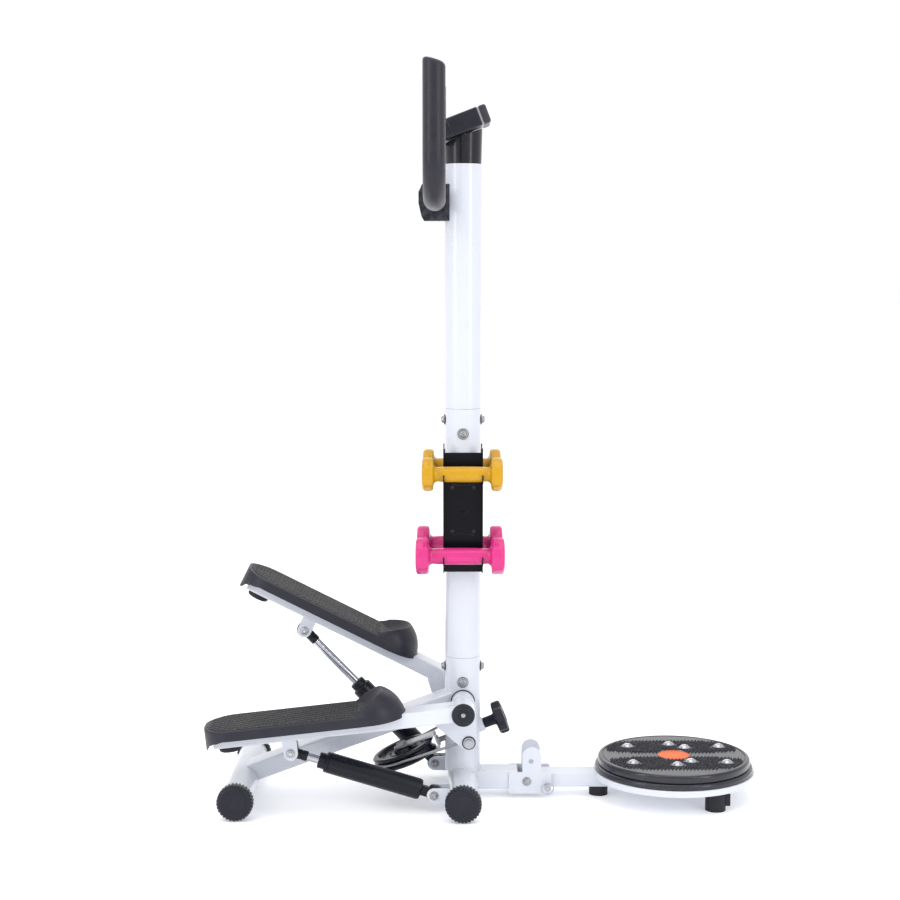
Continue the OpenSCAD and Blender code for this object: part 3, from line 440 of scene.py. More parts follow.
def rounded(low, high, radius, steps=3):
    """A box whose vertical (Z) edges and top and bottom edges are rounded."""
    rings = []
    cx, cy = (low[0] + high[0]) / 2, (low[1] + high[1]) / 2
    hx, hy = (high[0] - low[0]) / 2 - radius, (high[1] - low[1]) / 2 - radius
    levels = [(low[2] + radius * (1 - math.cos(t)), radius * math.sin(t)) for t in quarter(steps)]
    levels += [(high[2] - (z - low[2]), reach) for z, reach in reversed(levels)]
    for z, reach in levels:
        ring = []
        for corner, (sx, sy) in enumerate(((1, 1), (-1, 1), (-1, -1), (1, -1))):
            for t in quarter(steps):
                a = math.pi / 2 * corner + t
                x, y = cx + sx * hx + reach * math.cos(a), cy + sy * hy + reach * math.sin(a)
                ring.append(Vector((x, y, z)))
        rings.append(ring)
    return loft(rings)


def smoothstep(value, low, high):
    t = max(0.0, min(1.0, (value - low) / (high - low)))
    return t * t * (3 - 2 * t)

# ---------- frames of the moving parts ----------


def islands(node):
    """Boxes of a CAD node's separate pieces, as (lowest, highest) corners."""
    mesh = NODES[node].data
    owner = list(range(len(mesh.vertices)))

    def root(i):
        while owner[i] != i:
            owner[i] = owner[owner[i]]
            i = owner[i]
        return i

    keys = {}
    for vertex in mesh.vertices:
        key = tuple(round(c, 6) for c in vertex.co)
        owner[root(vertex.index)] = root(keys.setdefault(key, vertex.index))
    for edge in mesh.edges:
        owner[root(edge.vertices[0])] = root(edge.vertices[1])
    groups = {}
    for vertex in mesh.vertices:
        groups.setdefault(root(vertex.index), []).append(vertex.co)
    return sorted(map(corners, groups.values()), key=lambda b: tuple(round(c, 5) for c in b[0]))


def pedal_frame(side):
    """+X to the heel, +Z out of the tread; the origin is on the axle in the pedal's plane."""
    top = max(NODES[side + "_tread"].data.polygons, key=lambda p: p.area * (p.normal.z > 0.5)).normal
    pedal_low, pedal_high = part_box(side + "_footplate")
    pivot = Vector(JOINTS[side + "_pedal_swing"]["pos_m"])
    origin = Vector((pivot.x, (pedal_low.y + pedal_high.y) / 2, pivot.z))
    return axes(origin, (-top.z, 0, top.x), top)


PEDAL = {side: pedal_frame(side) for side in SIDES}
SCREW_AXIS = Vector(JOINTS["knob_spin"]["axis"])
SCREW = axes(JOINTS["knob_spin"]["pos_m"], SCREW_AXIS, (-SCREW_AXIS.z, 0, SCREW_AXIS.x))
CONSOLE_UP = Vector(JOINTS["button_press"]["axis"])
# Lays a lathe's axis along +X
ALONG_X = axes((0, 0, 0), (0, 0, -1), (1, 0, 0))
# Where the treads start behind the toe, and how far their front edge bows back at the sides
TREAD_START, TREAD_BOW = 58 * MM, 16 * MM


def cylinder_frame(side):
    tilt = next(j for j in frame["joints"] if j["name"].startswith(side) and "tilt" in j["name"])
    along = Vector(JOINTS[side + "_rod_slide"]["axis"])
    return axes(tilt["pos_m"], along, (along.z, 0, -along.x))


CYLINDER = {side: cylinder_frame(side) for side in SIDES}

# ---------- footplates and treads ----------


def smooth_min(a, b, k):
    h = max(k - abs(a - b), 0) / k
    return min(a, b) - h * h * k / 4


def nose_width(s, radius):
    return math.sqrt(max(radius ** 2 - (radius - s) ** 2, 0))


def heel_width(s, length, corner, half):
    """Half width of a plate whose far corners are rounded."""
    over = s - (length - corner)
    return half if over <= 0 else half - corner + math.sqrt(max(corner ** 2 - over ** 2, 0))


def footplate(side):
    """Hollow shell with a scooped toe stop, a recess for the tread and a channel for the arm."""
    low, high = local_box(side + "_footplate", PEDAL[side])
    tread_high = local_box(side + "_tread", PEDAL[side])[1]
    x0, length, half = low.x, high.x - low.x, (high.y - low.y) / 2
    deck = tread_high.z - 0.3 * MM
    thick, heel_r = 17 * MM, 48 * MM
    under = deck - thick
    nose = half - MM
    # The arm's channel: half its width, its roof and its end
    arm_half, arm_roof, arm_end = 25.3 * MM, 13.2 * MM, 413.3 * MM - x0
    # The ball that hollows out the back of the toe stop
    scoop = Vector((nose * 1.754, 0, deck + nose * 0.886))
    scoop_r = nose * 1.227
    # The tread's recess: half its width, its end and the radius of its corners
    inner, recess_end, recess_r = tread_high.y + 0.8 * MM, length - 6.2 * MM, 41.8 * MM

    def outer(s):
        return nose_width(s, nose) if s < nose else min(
            nose + (half - nose) * smoothstep(s, nose, nose + 20 * MM),
            heel_width(s, length, heel_r, half))

    def bottom(s):
        ends = [(-36, 0), (-20, -4), (-10, -8), (-4, -17), (0, -20)]
        z = under
        for (a, za), (b, zb) in zip(ends, ends[1:]):
            t = (s - length - a * MM) / ((b - a) * MM)
            if t > 0:
                z = under + (za + (zb - za) * smoothstep(min(t, 1), 0, 1)) * MM
        return z

    def top(s, y, width):
        power = 2.2 + 11.8 * smoothstep(s, 35 * MM, 84 * MM)
        bulge = max(1 - abs(y / width) ** power, 0) ** (1 / power)
        plate = under + thick * bulge * smoothstep(s, 4 * MM, 50 * MM)
        ball = nose_width(min(s, 2 * nose), nose)
        z = plate
        if ball > 6 * MM and abs(y) < ball:
            dome = under + (ball - 6 * MM) * (1 - abs(y / ball) ** 2.2) ** (1 / 2.2)
            reach = scoop_r ** 2 - (s - scoop.x) ** 2 - y ** 2
            if reach > 0:
                dome = smooth_min(dome, scoop.z - math.sqrt(reach), 4.5 * MM)
            z = -smooth_min(-plate, -dome, 3 * MM) if s > 20 * MM else max(plate, dome)
        edge = TREAD_START + TREAD_BOW * (y / inner) ** 2
        if s < recess_end and abs(y) < heel_width(s, recess_end, recess_r, inner):
            z -= 1.3 * MM * smoothstep(s, edge - 1.6 * MM, edge - 0.2 * MM)
        return z

    tip = [nose * (1 - math.cos(t)) for t in quarter(30, 1)[:13]]
    stations = [0.05 * MM] + tip + [tip[-1] + 1.25 * MM * k for k in range(1, 76)]
    heel = length - heel_r
    stations += [stations[-1] + (heel - stations[-1]) * k / 40 for k in range(1, 41)]
    stations += [heel + heel_r * math.sin(t) for t in quarter(26, 1)]
    notch = nose - math.sqrt(nose ** 2 - arm_half ** 2)
    stations = sorted([s for s in stations if abs(s - notch) > 0.2 * MM and abs(s - arm_end) > 0.4 * MM]
                      + [notch, notch + 0.01 * MM, arm_end, arm_end + 0.01 * MM])
    rims = [0.0, 0.02, 0.18, 0.4, 0.6, 0.76, 0.87, 0.94, 0.985, 1.0]
    rings = []
    for s in stations:
        width = max(outer(s), 0.3 * MM)
        limit = min(inner, width * 0.9)
        if s < recess_end:
            limit = min(limit, heel_width(s, recess_end, recess_r, inner))
        half_row = [limit * k / 28 for k in range(28)] + [limit * 0.999]
        half_row += [limit + (width - limit) * g for g in rims[1:]]
        row = [-y for y in reversed(half_row[1:])] + half_row
        ring = [(x0 + s, y, top(s, y, width)) for y in row]
        solid = s <= notch or s > arm_end
        base = arm_roof if s <= notch else bottom(s)
        roof = base if solid else arm_roof
        hollow = width * 0.9 if solid else max(arm_half, width - 3 * MM)
        lowest = min(base, ring[0][2])
        ring[0] = (x0 + s, -width, max(lowest + 0.2 * MM, ring[0][2]))
        ring[-1] = (x0 + s, width, ring[0][2])
        ring += [(x0 + s, width, lowest), (x0 + s, hollow, lowest), (x0 + s, hollow, max(roof, lowest)),
                 (x0 + s, -hollow, max(roof, lowest)), (x0 + s, -hollow, lowest), (x0 + s, -width, lowest)]
        rings.append([Vector(p) for p in ring])
    piece(side + "_footplate_shell", *loft(rings), side + "_pedal", "footplate_plastic",
          [side + "_footplate"], PEDAL[side], 40)


def weave(x, y):
    """Height, 0 to 1, of a basket weave of short ribs laid at 45 degrees."""
    pitch = 8.6 * MM
    u, v = (x + y) / math.sqrt(2), (x - y) / math.sqrt(2)
    across, along = (u, v) if (math.floor(u / pitch) + math.floor(v / pitch)) % 2 else (v, u)
    t, e = abs((across / pitch) % 1 - 0.5) * 2, abs((along / pitch) % 1 - 0.5) * 2
    return (1 - smoothstep(t, 0.30, 0.66)) * (1 - smoothstep(e, 0.70, 0.98))


def tread(side):
    """Rubbery mat with a raised rim round a basket weave; its low grooves take a darker material, painted shade.
    """
    low, high = local_box(side + "_tread", PEDAL[side])
    half, x_end = high.y, high.x
    start = local_box(side + "_footplate", PEDAL[side])[0].x + TREAD_START
    top = high.z + 0.1 * MM
    step = 1.25 * MM
    columns = int(2 * half / step)
    bend = 42 * MM
    rows = int((x_end - start) / step)
    count = columns + 1
    grid = []
    for i in range(rows + 1):
        for k in range(count):
            g = -1 + 2 * k / columns
            straight = start + (x_end - start) * (i / rows)
            y = g * heel_width(straight, x_end, 41 * MM, half)
            x = straight + TREAD_BOW * g * g * max(0, 1 - (straight - start) / bend)
            z = top - 0.25 * MM + 0.95 * MM * weave(x, y)
            near = min(half - abs(y), (x_end - x) * 0.7 + 0.001, 1)
            if k in (0, columns) or i in (0, rows) or near < 2.2 * MM:
                z = top + 0.35 * MM
            grid.append(Vector((x, y, z)))
    faces = [(i * count + k, i * count + k + 1, (i + 1) * count + k + 1, (i + 1) * count + k)
             for i in range(rows) for k in range(columns)]
    ring = (list(range(count)) + [i * count + columns for i in range(1, rows + 1)]
            + [rows * count + k for k in range(columns - 1, -1, -1)]
            + [i * count for i in range(rows - 1, 0, -1)])
    base, skirt = len(grid), len(ring)
    grid += [Vector((grid[i].x, grid[i].y, low.z + 0.6 * MM)) for i in ring]
    faces += [(ring[i], ring[(i + 1) % skirt], base + (i + 1) % skirt, base + i) for i in range(skirt)]
    faces.append(tuple(range(base, base + skirt)))
    mat = piece(side + "_tread_mat", grid, faces, side + "_pedal", "tread", [side + "_tread"],
                PEDAL[side], 60)
    # Second material: painted shade for the grooves of the weave.
    mat.data.materials.append(TREAD_GROOVE_SHADE)
    back = PEDAL[side].inverted()
    for face in mat.data.polygons:
        centre = back @ face.center
        inside = half - abs(centre.y) > 3 * MM and start + 20 * MM < centre.x < x_end - 4 * MM
        if inside and centre.z < top + 0.22 * MM:
            face.material_index = 1


def bumper(side):
    low, high = local_box(side + "_bumper", PEDAL[side])
    r, h = (high.x - low.x) / 2, high.z - low.z
    profile = [(0, 6 * MM), (1.2 * MM, 7.5 * MM), (0.2 * MM, 9 * MM), (0, r - 4 * MM),
               (0.6 * MM, r - 1.6 * MM), (2.2 * MM, r - 0.2 * MM), (h * 0.5, r + 0.3 * MM), (h - 1 * MM, r),
               (h, r - 0.8 * MM)]
    centre = Matrix.Translation(((low.x + high.x) / 2, (low.y + high.y) / 2, low.z))
    piece(side + "_bumper_pad", *lathe(profile, 48), side + "_pedal", "rubber", [side + "_bumper"],
          PEDAL[side] @ centre)


for side in SIDES:
    footplate(side)
    tread(side)
    bumper(side)

# ---------- handlebar grips ----------


def grip(sign):
    """Foam tube: level beside the clamp, round the bend and up to a slanted, rounded top."""
    low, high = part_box("foam_grips")
    x, r = (low.x + high.x) / 2, (high.x - low.x) / 2
    y_out, z_run = high.y - r, low.z + r
    bend, first = 65 * MM, 26 * MM
    level, out = Vector((0, 0, -1)), Vector((0, 1, 0))
    rings = []

    def ring(y, z, outward, radius):
        return circle(Vector((x, y, z)), Vector((1, 0, 0)), outward, radius, 40)

    for lead, inset in ((0, 2.6), (0.3, 1.2), (1.5, 0.2), (4, 0)):
        rings.append(ring(first + lead * MM, z_run, level, r - inset * MM))
    turn, run = y_out - bend, first + 4 * MM
    rings += [ring(run + (turn - run) * k / 5, z_run, level, r) for k in range(1, 6)]
    for a in quarter(24, 1):
        outward = Vector((0, math.sin(a), -math.cos(a)))
        rings.append(ring(turn + bend * math.sin(a), z_run + bend * (1 - math.cos(a)), outward, r))
    base, slope = z_run + bend, math.tan(math.radians(16))
    rise = high.z - 16 * MM - r * slope * 2 - base
    rings += [ring(y_out, base + rise * k / 8, out, r) for k in range(1, 9)]
    crown, dip = 7 * MM, 0.4 * MM
    rims = [(r - crown * (1 - math.cos(t)), crown * (math.sin(t) - 1)) for t in quarter(8)]
    for radius, lift in rims + [(r * 0.35, dip), (r * 0.1, dip)]:
        rings.append([Vector((p.x, p.y, high.z - (p.x - x + r) * slope + lift))
                      for p in ring(y_out, 0, out, radius)])
    verts, faces = loft(rings)
    return [Vector((v.x, v.y * sign, v.z)) for v in verts], faces


for side, sign in SIDES.items():
    piece(side + "_grip", *grip(sign), "frame", "foam", ["foam_grips"] if side == "left" else [], crease=50)

# ---------- dumbbells ----------


def hexagon(angle, flat):
    """Radius of a hexagon at an angle, when its flats are this far out and a corner is at 0."""
    turn = (angle + math.pi / 6) % (math.pi / 3) - math.pi / 6
    return flat / math.cos(math.pi / 6 - abs(turn))


def dumbbell(name, body, slot):
    """A bell turned about X: a waisted handle between two softly hexagonal heads."""
    low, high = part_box(name)
    length, head_r = high.x - low.x, max(high.y - low.y, high.z - low.z) / 2
    head, handle = (21 * MM, 13 * MM) if slot == "yellow_vinyl" else (24 * MM, 14 * MM)
    end, inner = length / 2, length / 2 - head
    softness = 14

    def heads(angle, z):
        if abs(z) < inner + 0.5 * MM:
            return 1
        return ((1 + hexagon(angle, 0.93) ** -softness) / 2) ** (-1 / softness)

    half = [(0, handle), (inner * 0.5, handle - 0.1 * MM), (inner * 0.72, handle - 0.5 * MM),
            (inner - 6 * MM, handle - 1.2 * MM), (inner - 3 * MM, handle - 0.4 * MM),
            (inner - 1 * MM, handle + 2 * MM), (inner, handle + 5 * MM),
            (inner + 0.55 * MM, head_r - 5.5 * MM)]
    half += [(inner + 0.55 * MM + 5 * MM * (1 - math.cos(t)), head_r - 5 * MM * (1 - math.sin(t)))
             for t in quarter(6, 1)]
    half.append((end - 7.5 * MM, head_r))
    half += [(end - 7.5 * MM + 6 * MM * math.sin(t), head_r - 7 * MM * (1 - math.cos(t)))
             for t in quarter(7, 1)]
    half += [(end - 1.0 * MM, head_r * 0.55), (end - 1.0 * MM, head_r * 0.42),
             (end - 1.7 * MM, head_r * 0.40), (end - 1.7 * MM, head_r * 0.1)]
    profile = [(-z, r) for z, r in reversed(half[1:])] + half
    turn = axes((low + high) / 2, (0, 0, 1), (1, 0, 0))
    piece(name + "_bell", *lathe(profile, 96, heads), body, slot, [name], turn, 50)


for side in SIDES:
    dumbbell(side + "_upper_dumbbell", side + "_upper_bell", "yellow_vinyl")
    dumbbell(side + "_lower_dumbbell", side + "_lower_bell", "pink_vinyl")

# ---------- twister disc ----------


def nub(place, width, height):
    """One rounded rubber finger of the massage field."""
    x_axis, y_axis = Vector((1, 0, 0)), Vector((0, 1, 0))
    return loft([circle(place + Vector((0, 0, height * h)), x_axis, y_axis, width / 2 * r, 7)
                 for h, r in ((0, 1), (0.55, 0.92), (0.85, 0.66), (1, 0.25))])


def upper_disc():
    """The turning plate: its rim and groove, the field of nubs, the domes' collars and the label."""
    low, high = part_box("upper_disc")
    centre, radius, thick = (low + high) / 2, (high.x - low.x) / 2, high.z - low.z
    place = Matrix.Translation((centre.x, centre.y, low.z))
    profile = [(0, radius - 5 * MM), (0, radius - 1.2 * MM), (0.5 * MM, radius - 0.3 * MM),
               (1.5 * MM, radius), (thick - 5 * MM, radius)]
    profile += [(thick - 5 * MM * (1 - math.sin(t)), radius - 5 * MM * (1 - math.cos(t)))
                for t in quarter(7, 1)]
    groove = radius - 8.5 * MM
    profile += [(thick, groove + 1.2 * MM), (thick - 1.3 * MM, groove + 0.8 * MM),
                (thick - 1.3 * MM, groove - 0.4 * MM), (thick - 0.4 * MM, groove - 0.8 * MM),
                (thick - 0.4 * MM, 29.5 * MM), (thick, 29 * MM), (thick, 27.6 * MM),
                (thick - 0.5 * MM, 27.4 * MM), (thick - 0.5 * MM, 1 * MM)]
    piece("disc_plate", *lathe(profile, 144), "disc", "disc_plastic", ["upper_disc"], place)
    domes = islands("disc_domes")
    spots = [((a + b) / 2).to_2d() for a, b in domes]
    dice = random.Random(7)
    pitch, field = 6.1 * MM, []
    rows = int(radius / pitch) + 1
    for i in range(-2 * rows, 2 * rows + 1):
        for k in range(-2 * rows, 2 * rows + 1):
            x, y = (i + 0.5 * (k % 2)) * pitch, k * pitch * 0.87
            zone = abs(x / (118 * MM)) ** 3 + abs((abs(y) - 50 * MM) / (37 * MM)) ** 3
            if zone > 1 or not 31 * MM <= math.hypot(x, y) <= radius - 11 * MM:
                continue
            spot = Vector((centre.x + x, centre.y + y))
            if min((spot - s).length for s in spots) < 14 * MM:
                continue
            tall = (3.3 + 0.5 * dice.random()) * MM
            field.append(nub(Vector((*spot, high.z - 0.8 * MM)), 3.3 * MM, tall))
    piece("disc_nubs", *joined(*field), "disc", "disc_plastic", crease=60)
    rings = []
    for a, b in domes:
        r = (b.x - a.x) / 2
        collar = lathe([(-0.8 * MM, r - 2 * MM), (-0.8 * MM, r + 2.6 * MM), (0.5 * MM, r + 2.4 * MM),
                        (1.1 * MM, r + 1.6 * MM), (1.1 * MM, r + 0.3 * MM), (0.2 * MM, r - 0.6 * MM)], 40)
        rings.append(moved(collar, Matrix.Translation(((a.x + b.x) / 2, (a.y + b.y) / 2, high.z))))
    piece("dome_collars", *joined(*rings), "disc", "gloss_black")
    sticker = lathe([(-0.6 * MM, 26.6 * MM), (-0.1 * MM, 26.6 * MM), (0.05 * MM, 26.3 * MM),
                     (0.05 * MM, 6 * MM)], 72)
    piece("disc_label", *moved(sticker, Matrix.Translation((centre.x, centre.y, high.z))), "disc",
          "disc_plastic", material=ORANGE_LABEL)


def lower_disc():
    low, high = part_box("lower_disc")
    centre, radius, thick = (low + high) / 2, (high.x - low.x) / 2, high.z - low.z
    profile = [(0, radius - 6 * MM), (0, radius - 1.2 * MM), (0.6 * MM, radius - 0.2 * MM), (2 * MM, radius),
               (thick - 4 * MM, radius), (thick - 2.4 * MM, radius - 0.5 * MM),
               (thick - 1 * MM, radius - 1.8 * MM), (thick - 0.3 * MM, radius - 3.6 * MM),
               (thick, radius - 6 * MM)]
    piece("disc_base", *lathe(profile, 144), "twister", "disc_plastic", ["lower_disc"],
          Matrix.Translation((centre.x, centre.y, low.z)))


upper_disc()
lower_disc()

# ---------- stabilizer caps, knob and console ----------------------


def ribbed_caps():
    """Rubber caps with thirty grip ribs round the side and a stepped, slightly dished face."""
    parts = []
    for low, high in islands("stabilizer_caps"):
        outward = 1 if (low.y + high.y) > 0 else -1
        length, radius = high.y - low.y, (high.z - low.z) / 2
        centre = Vector(((low.x + high.x) / 2, high.y if outward > 0 else low.y, (low.z + high.z) / 2))

        rib_count = 30

        def ribs(angle, z):
            if z < 1.5 * MM:
                return 1
            t = angle / (2 * math.pi) * rib_count % 1
            depth = 0 if t < 0.5 else smoothstep(t, 0.5, 0.6) * (1 - smoothstep(t, 0.86, 0.99))
            return 1 - 2.0 * MM / radius * depth * smoothstep(z, 1.5 * MM, 4 * MM)

        profile = [(1.4 * MM, 5 * MM), (1.4 * MM, 14 * MM), (0.9 * MM, 14.8 * MM), (0.9 * MM, 19.2 * MM),
                   (0.1 * MM, 20 * MM), (0, 22.4 * MM), (0.5 * MM, 24.4 * MM), (1.6 * MM, 26.8 * MM),
                   (3.2 * MM, radius - 1.2 * MM), (5 * MM, radius - 0.3 * MM), (7 * MM, radius),
                   (length - 1.6 * MM, radius), (length - 0.5 * MM, radius - 0.6 * MM),
                   (length, radius - 1.8 * MM)]
        turn = axes(centre, (0, 0, -1), (0, -outward, 0))
        parts.append(moved(lathe(profile, 300, ribs), turn))
    piece("ribbed_caps", *joined(*parts), "frame", "black_plastic", ["stabilizer_caps"])


def knob():
    """Star knob with six lobes on a plain collar."""
    low, high = local_box("knob", SCREW)
    start, radius, end = low.x, (high.z - low.z) / 2, high.x
    face = end - 17 * MM

    def lobes(angle, z):
        if z < face + 0.4 * MM:
            return 1
        wave = (0.5 - 0.5 * math.cos(6 * angle)) ** 1.4
        return 1 - 0.15 * wave * smoothstep(z, face, face + 1 * MM)

    profile = [(start, 8.6 * MM), (start + 0.5 * MM, 9 * MM), (face - 4 * MM, 9.2 * MM),
               (face - 1 * MM, 11 * MM), (face, 16 * MM), (face + 0.3 * MM, radius - 4 * MM),
               (face + 1.0 * MM, radius - 1.8 * MM),
               (face + 2.2 * MM, radius - 0.5 * MM), (face + 4 * MM, radius), (end - 4 * MM, radius),
               (end - 2.2 * MM, radius - 0.5 * MM), (end - 1 * MM, radius - 1.8 * MM),
               (end - 0.3 * MM, radius - 4 * MM), (end, radius - 7 * MM),
               (end, 13 * MM), (end - 1.2 * MM, 11.6 * MM), (end - 1.4 * MM, 3 * MM)]
    piece("knob_grip", *lathe(profile, 120, lobes), "adjuster_knob", "black_plastic", ["knob"],
          SCREW @ ALONG_X, 40)


def console():
    """The desk: case and stepped front, display in a bezel, button ring, seam and rear cover."""
    column_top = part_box("upper_column")[1].z
    desk = axes((COLUMN_X, 0, column_top + 45 * MM), CONSOLE_UP.cross(Vector((0, -1, 0))), CONSOLE_UP)
    low, high = local_box("console", desk)
    back_low, back_high = local_box("console_back", desk)
    glass_low, glass_high = local_box("display", desk)
    button_low, button_high = local_box("button", desk)
    step, top = low.x + 38 * MM, high.z
    case = rounded((step - 1 * MM, low.y, low.z), (high.x + 0.1 * MM, high.y, top), 3.2 * MM, 4)
    inset = 2.5 * MM
    front = rounded((low.x, low.y + inset, low.z), (step + 8 * MM, high.y - inset, top - 4 * MM), 6 * MM, 4)
    bar = 3 * MM
    x0, x1, y0, y1 = glass_low.x - inset, glass_high.x + inset, glass_low.y - inset, glass_high.y + inset
    bars = ((x0, y0, x1, y0 + bar), (x0, y1 - bar, x1, y1), (x0, y0, x0 + bar, y1), (x1 - bar, y0, x1, y1))
    bezel = [rounded((a, b, top - 1 * MM), (c, d, top + 1.1 * MM), 0.8 * MM, 2) for a, b, c, d in bars]
    centre = (button_low + button_high) / 2
    ring = lathe([(-1 * MM, 5.2 * MM), (-1 * MM, 7.6 * MM), (0.5 * MM, 7.4 * MM), (1.1 * MM, 6.8 * MM),
                  (1.1 * MM, 5.6 * MM), (0.2 * MM, 5.1 * MM)], 40)
    bezel.append(moved(ring, Matrix.Translation((centre.x, centre.y, top - 4 * MM))))
    piece("console_case", *joined(case, front, *bezel), "frame", "black_plastic", ["console"], desk, 40)
    glass = rounded((glass_low.x, glass_low.y, top - 1 * MM), (glass_high.x, glass_high.y, top + 0.5 * MM),
                    0.5 * MM, 2)
    piece("console_glass", *glass, "frame", "display_glass", ["display"], desk)
    seam = rounded((high.x - 1.5 * MM, low.y + 1.1 * MM, low.z + 1.1 * MM),
                   (back_low.x + 3 * MM, high.y - 1.1 * MM, top - 1.1 * MM), 1.2 * MM, 3)
    piece("console_seam", *seam, "frame", "console_grey", (), desk, material=LIGHT_SEAM)
    back = rounded((back_low.x + 0.2 * MM, back_low.y, back_low.z), tuple(back_high), 4 * MM, 4)
    piece("console_rear", *back, "frame", "console_grey", ["console_back"], desk, 40)


ribbed_caps()
knob()
console()

# ---------- cylinders ----------


def barrel(side):
    """Damper barrel with rolled shoulders, a stepped collar and the lower eye."""
    low, high = local_box(side + "_barrel", CYLINDER[side])
    radius = (high.z - low.z) / 2
    end, eye_r = high.x, 13.5 * MM
    body = [(22 * MM, 9 * MM), (22.3 * MM, 13 * MM), (23.2 * MM, 15.6 * MM), (25 * MM, radius - 0.6 * MM),
            (28 * MM, radius), (end - 18 * MM, radius), (end - 17.2 * MM, radius - 0.7 * MM),
            (end - 16.4 * MM, radius), (end - 13.5 * MM, radius - 0.2 * MM),
            (end - 11.8 * MM, radius - 1.6 * MM),
            (end - 11 * MM, radius - 4 * MM), (end - 10.4 * MM, 13.4 * MM), (end - 2 * MM, 13.4 * MM),
            (end - 0.6 * MM, 12.8 * MM), (end, 11.6 * MM), (end, 8.4 * MM), (end - 1.5 * MM, 7.4 * MM)]
    across = axes((0, -9.5 * MM, 0), (1, 0, 0), (0, 1, 0))
    eye = [(0, 5 * MM), (0, eye_r - 1.4 * MM), (0.5 * MM, eye_r - 0.4 * MM), (1.6 * MM, eye_r),
           (17.4 * MM, eye_r), (18.5 * MM, eye_r - 0.4 * MM), (19 * MM, eye_r - 1.4 * MM), (19 * MM, 5 * MM)]
    neck = rounded((2 * MM, -8 * MM, -8 * MM), (24 * MM, 8 * MM, 8 * MM), 2.5 * MM, 3)
    piece(side + "_damper", *joined(moved(lathe(body, 64), ALONG_X), moved(lathe(eye, 48), across), neck),
          side + "_cylinder", "cylinder_black", [side + "_barrel"], CYLINDER[side])


def rod_end(side):
    """Rubber-bushed eye on the rod, with its crimped sleeve."""
    low, high = local_box(side + "_rod_eye", CYLINDER[side])
    reach = high.x - 13.5 * MM
    width = high.y - low.y
    sleeve = [(low.x, 7.2 * MM), (low.x + 0.4 * MM, 8.2 * MM), (low.x + 1.4 * MM, 8.6 * MM),
              (low.x + 9 * MM, 8.6 * MM), (low.x + 10 * MM, 7.9 * MM), (low.x + 11 * MM, 8.6 * MM),
              (reach - 9 * MM, 8.4 * MM)]
    rim = [(0, 7.3), (0, 12.2), (0.6, 13.2), (1.8, 13.6)]
    rim += [(width / MM - z, r) for z, r in reversed(rim)]
    eye = [circle(Vector((reach, low.y + z * MM, 0)), Vector((1, 0, 0)), Vector((0, 0, 1)), r * MM, 48)
           for z, r in rim]
    piece(side + "_bushing", *joined(moved(lathe(sleeve, 48), ALONG_X), loft(eye, True)), side + "_piston",
          "cylinder_black", [side + "_rod_eye"], CYLINDER[side])


for side in SIDES:
    barrel(side)
    rod_end(side)

# ---------- bolts, washers and small marks ----------


def bolt(place, outward, washer_r, head_r, head_h, washer_h=1.5 * MM):
    """Washer and button head with a hexagon socket, seated at place and facing outward."""
    profile = [(0, washer_r - 0.3 * MM), (0.2 * MM, washer_r), (washer_h - 0.3 * MM, washer_r),
               (washer_h, washer_r - 0.5 * MM), (washer_h, head_r + 0.1 * MM)]
    top = washer_h + head_h
    profile += [(washer_h + 0.35 * head_h, head_r), (washer_h + 0.75 * head_h, head_r * 0.88),
                (top - 0.1 * MM, head_r * 0.62), (top, head_r * 0.5), (top - 0.2 * MM, head_r * 0.44),
                (top - head_h * 0.4, head_r * 0.42), (top - head_h * 0.4, 0.1 * MM)]
    return moved(lathe(profile, 36), axes(place, Vector(outward).orthogonal(), outward))


def dark_ring(place, outward, inner, outer, height=0.5 * MM):
    """Thin dark ring behind a washer or bolt head; behind the column's bolts it is a painted shadow."""
    profile = [(-1.5 * MM, outer), (height - 0.15 * MM, outer), (height, outer - 0.2 * MM), (height, inner),
               (-1.5 * MM, inner)]
    return moved(lathe(profile, 40), axes(place, Vector(outward).orthogonal(), outward))


def column_bolts():
    """Heads on the column's joints with a painted shadow ring behind each washer, and flatter heads where a bolt
    holds a dumbbell holder.
    """
    parts, rings, holder_parts = [], [], []
    for low, high in islands("column_bolts"):
        centre, size = (low + high) / 2, high - low
        if size.y < size.x:
            out = Vector((0, 1 if centre.y > 0 else -1, 0))
            face = max(abs(low.y), abs(high.y))
            seat = Vector((centre.x, out.y * (face - 6.4 * MM), centre.z))
        else:
            out = Vector((1 if centre.x > COLUMN_X else -1, 0, 0))
            face = high.x if out.x > 0 else low.x
            seat = Vector((face - out.x * 6.4 * MM, centre.y, centre.z))
        if abs(seat.y) > COLUMN_R + 1 * MM:
            plate = Vector((seat.x, out.y * (COLUMN_R + 2.2 * MM), seat.z))
            holder_parts.append(bolt(plate, out, 8 * MM, 6 * MM, 1.6 * MM, 0.8 * MM))
            continue
        parts.append(bolt(seat, out, 8.4 * MM, 6.2 * MM, 4.6 * MM))
        # Dark ring behind the washer: painted shadow.
        rings.append(dark_ring(seat, out, 7.9 * MM, 9.2 * MM))
    piece("seam_bolts", *joined(*parts), "frame", "zinc", ["column_bolts"], material=BOLT_ZINC)
    piece("bolt_shadow_rings", *joined(*rings), "frame", "black_plastic")
    piece("holder_bolts", *joined(*holder_parts), "frame", "black_steel")


def pivot_heads():
    """Button heads on the ends of the fold's and the cylinders' bolts."""
    parts = []
    for low, high in islands("pivot_bolts"):
        centre = (low + high) / 2
        for s in (-1, 1):
            y = high.y if s > 0 else low.y
            seat = (centre.x, y - s * 5 * MM, centre.z)
            parts.append(bolt(seat, (0, s, 0), 7.5 * MM, 5.8 * MM, 3.6 * MM))
        shaft = lathe([(low.y + 4 * MM, 4 * MM), (high.y - 4 * MM, 4 * MM)], 32)
        parts.append(moved(shaft, axes((centre.x, 0, centre.z), (1, 0, 0), (0, 1, 0))))
    piece("pivot_heads", *joined(*parts), "frame", "zinc", ["pivot_bolts"], material=BOLT_ZINC)


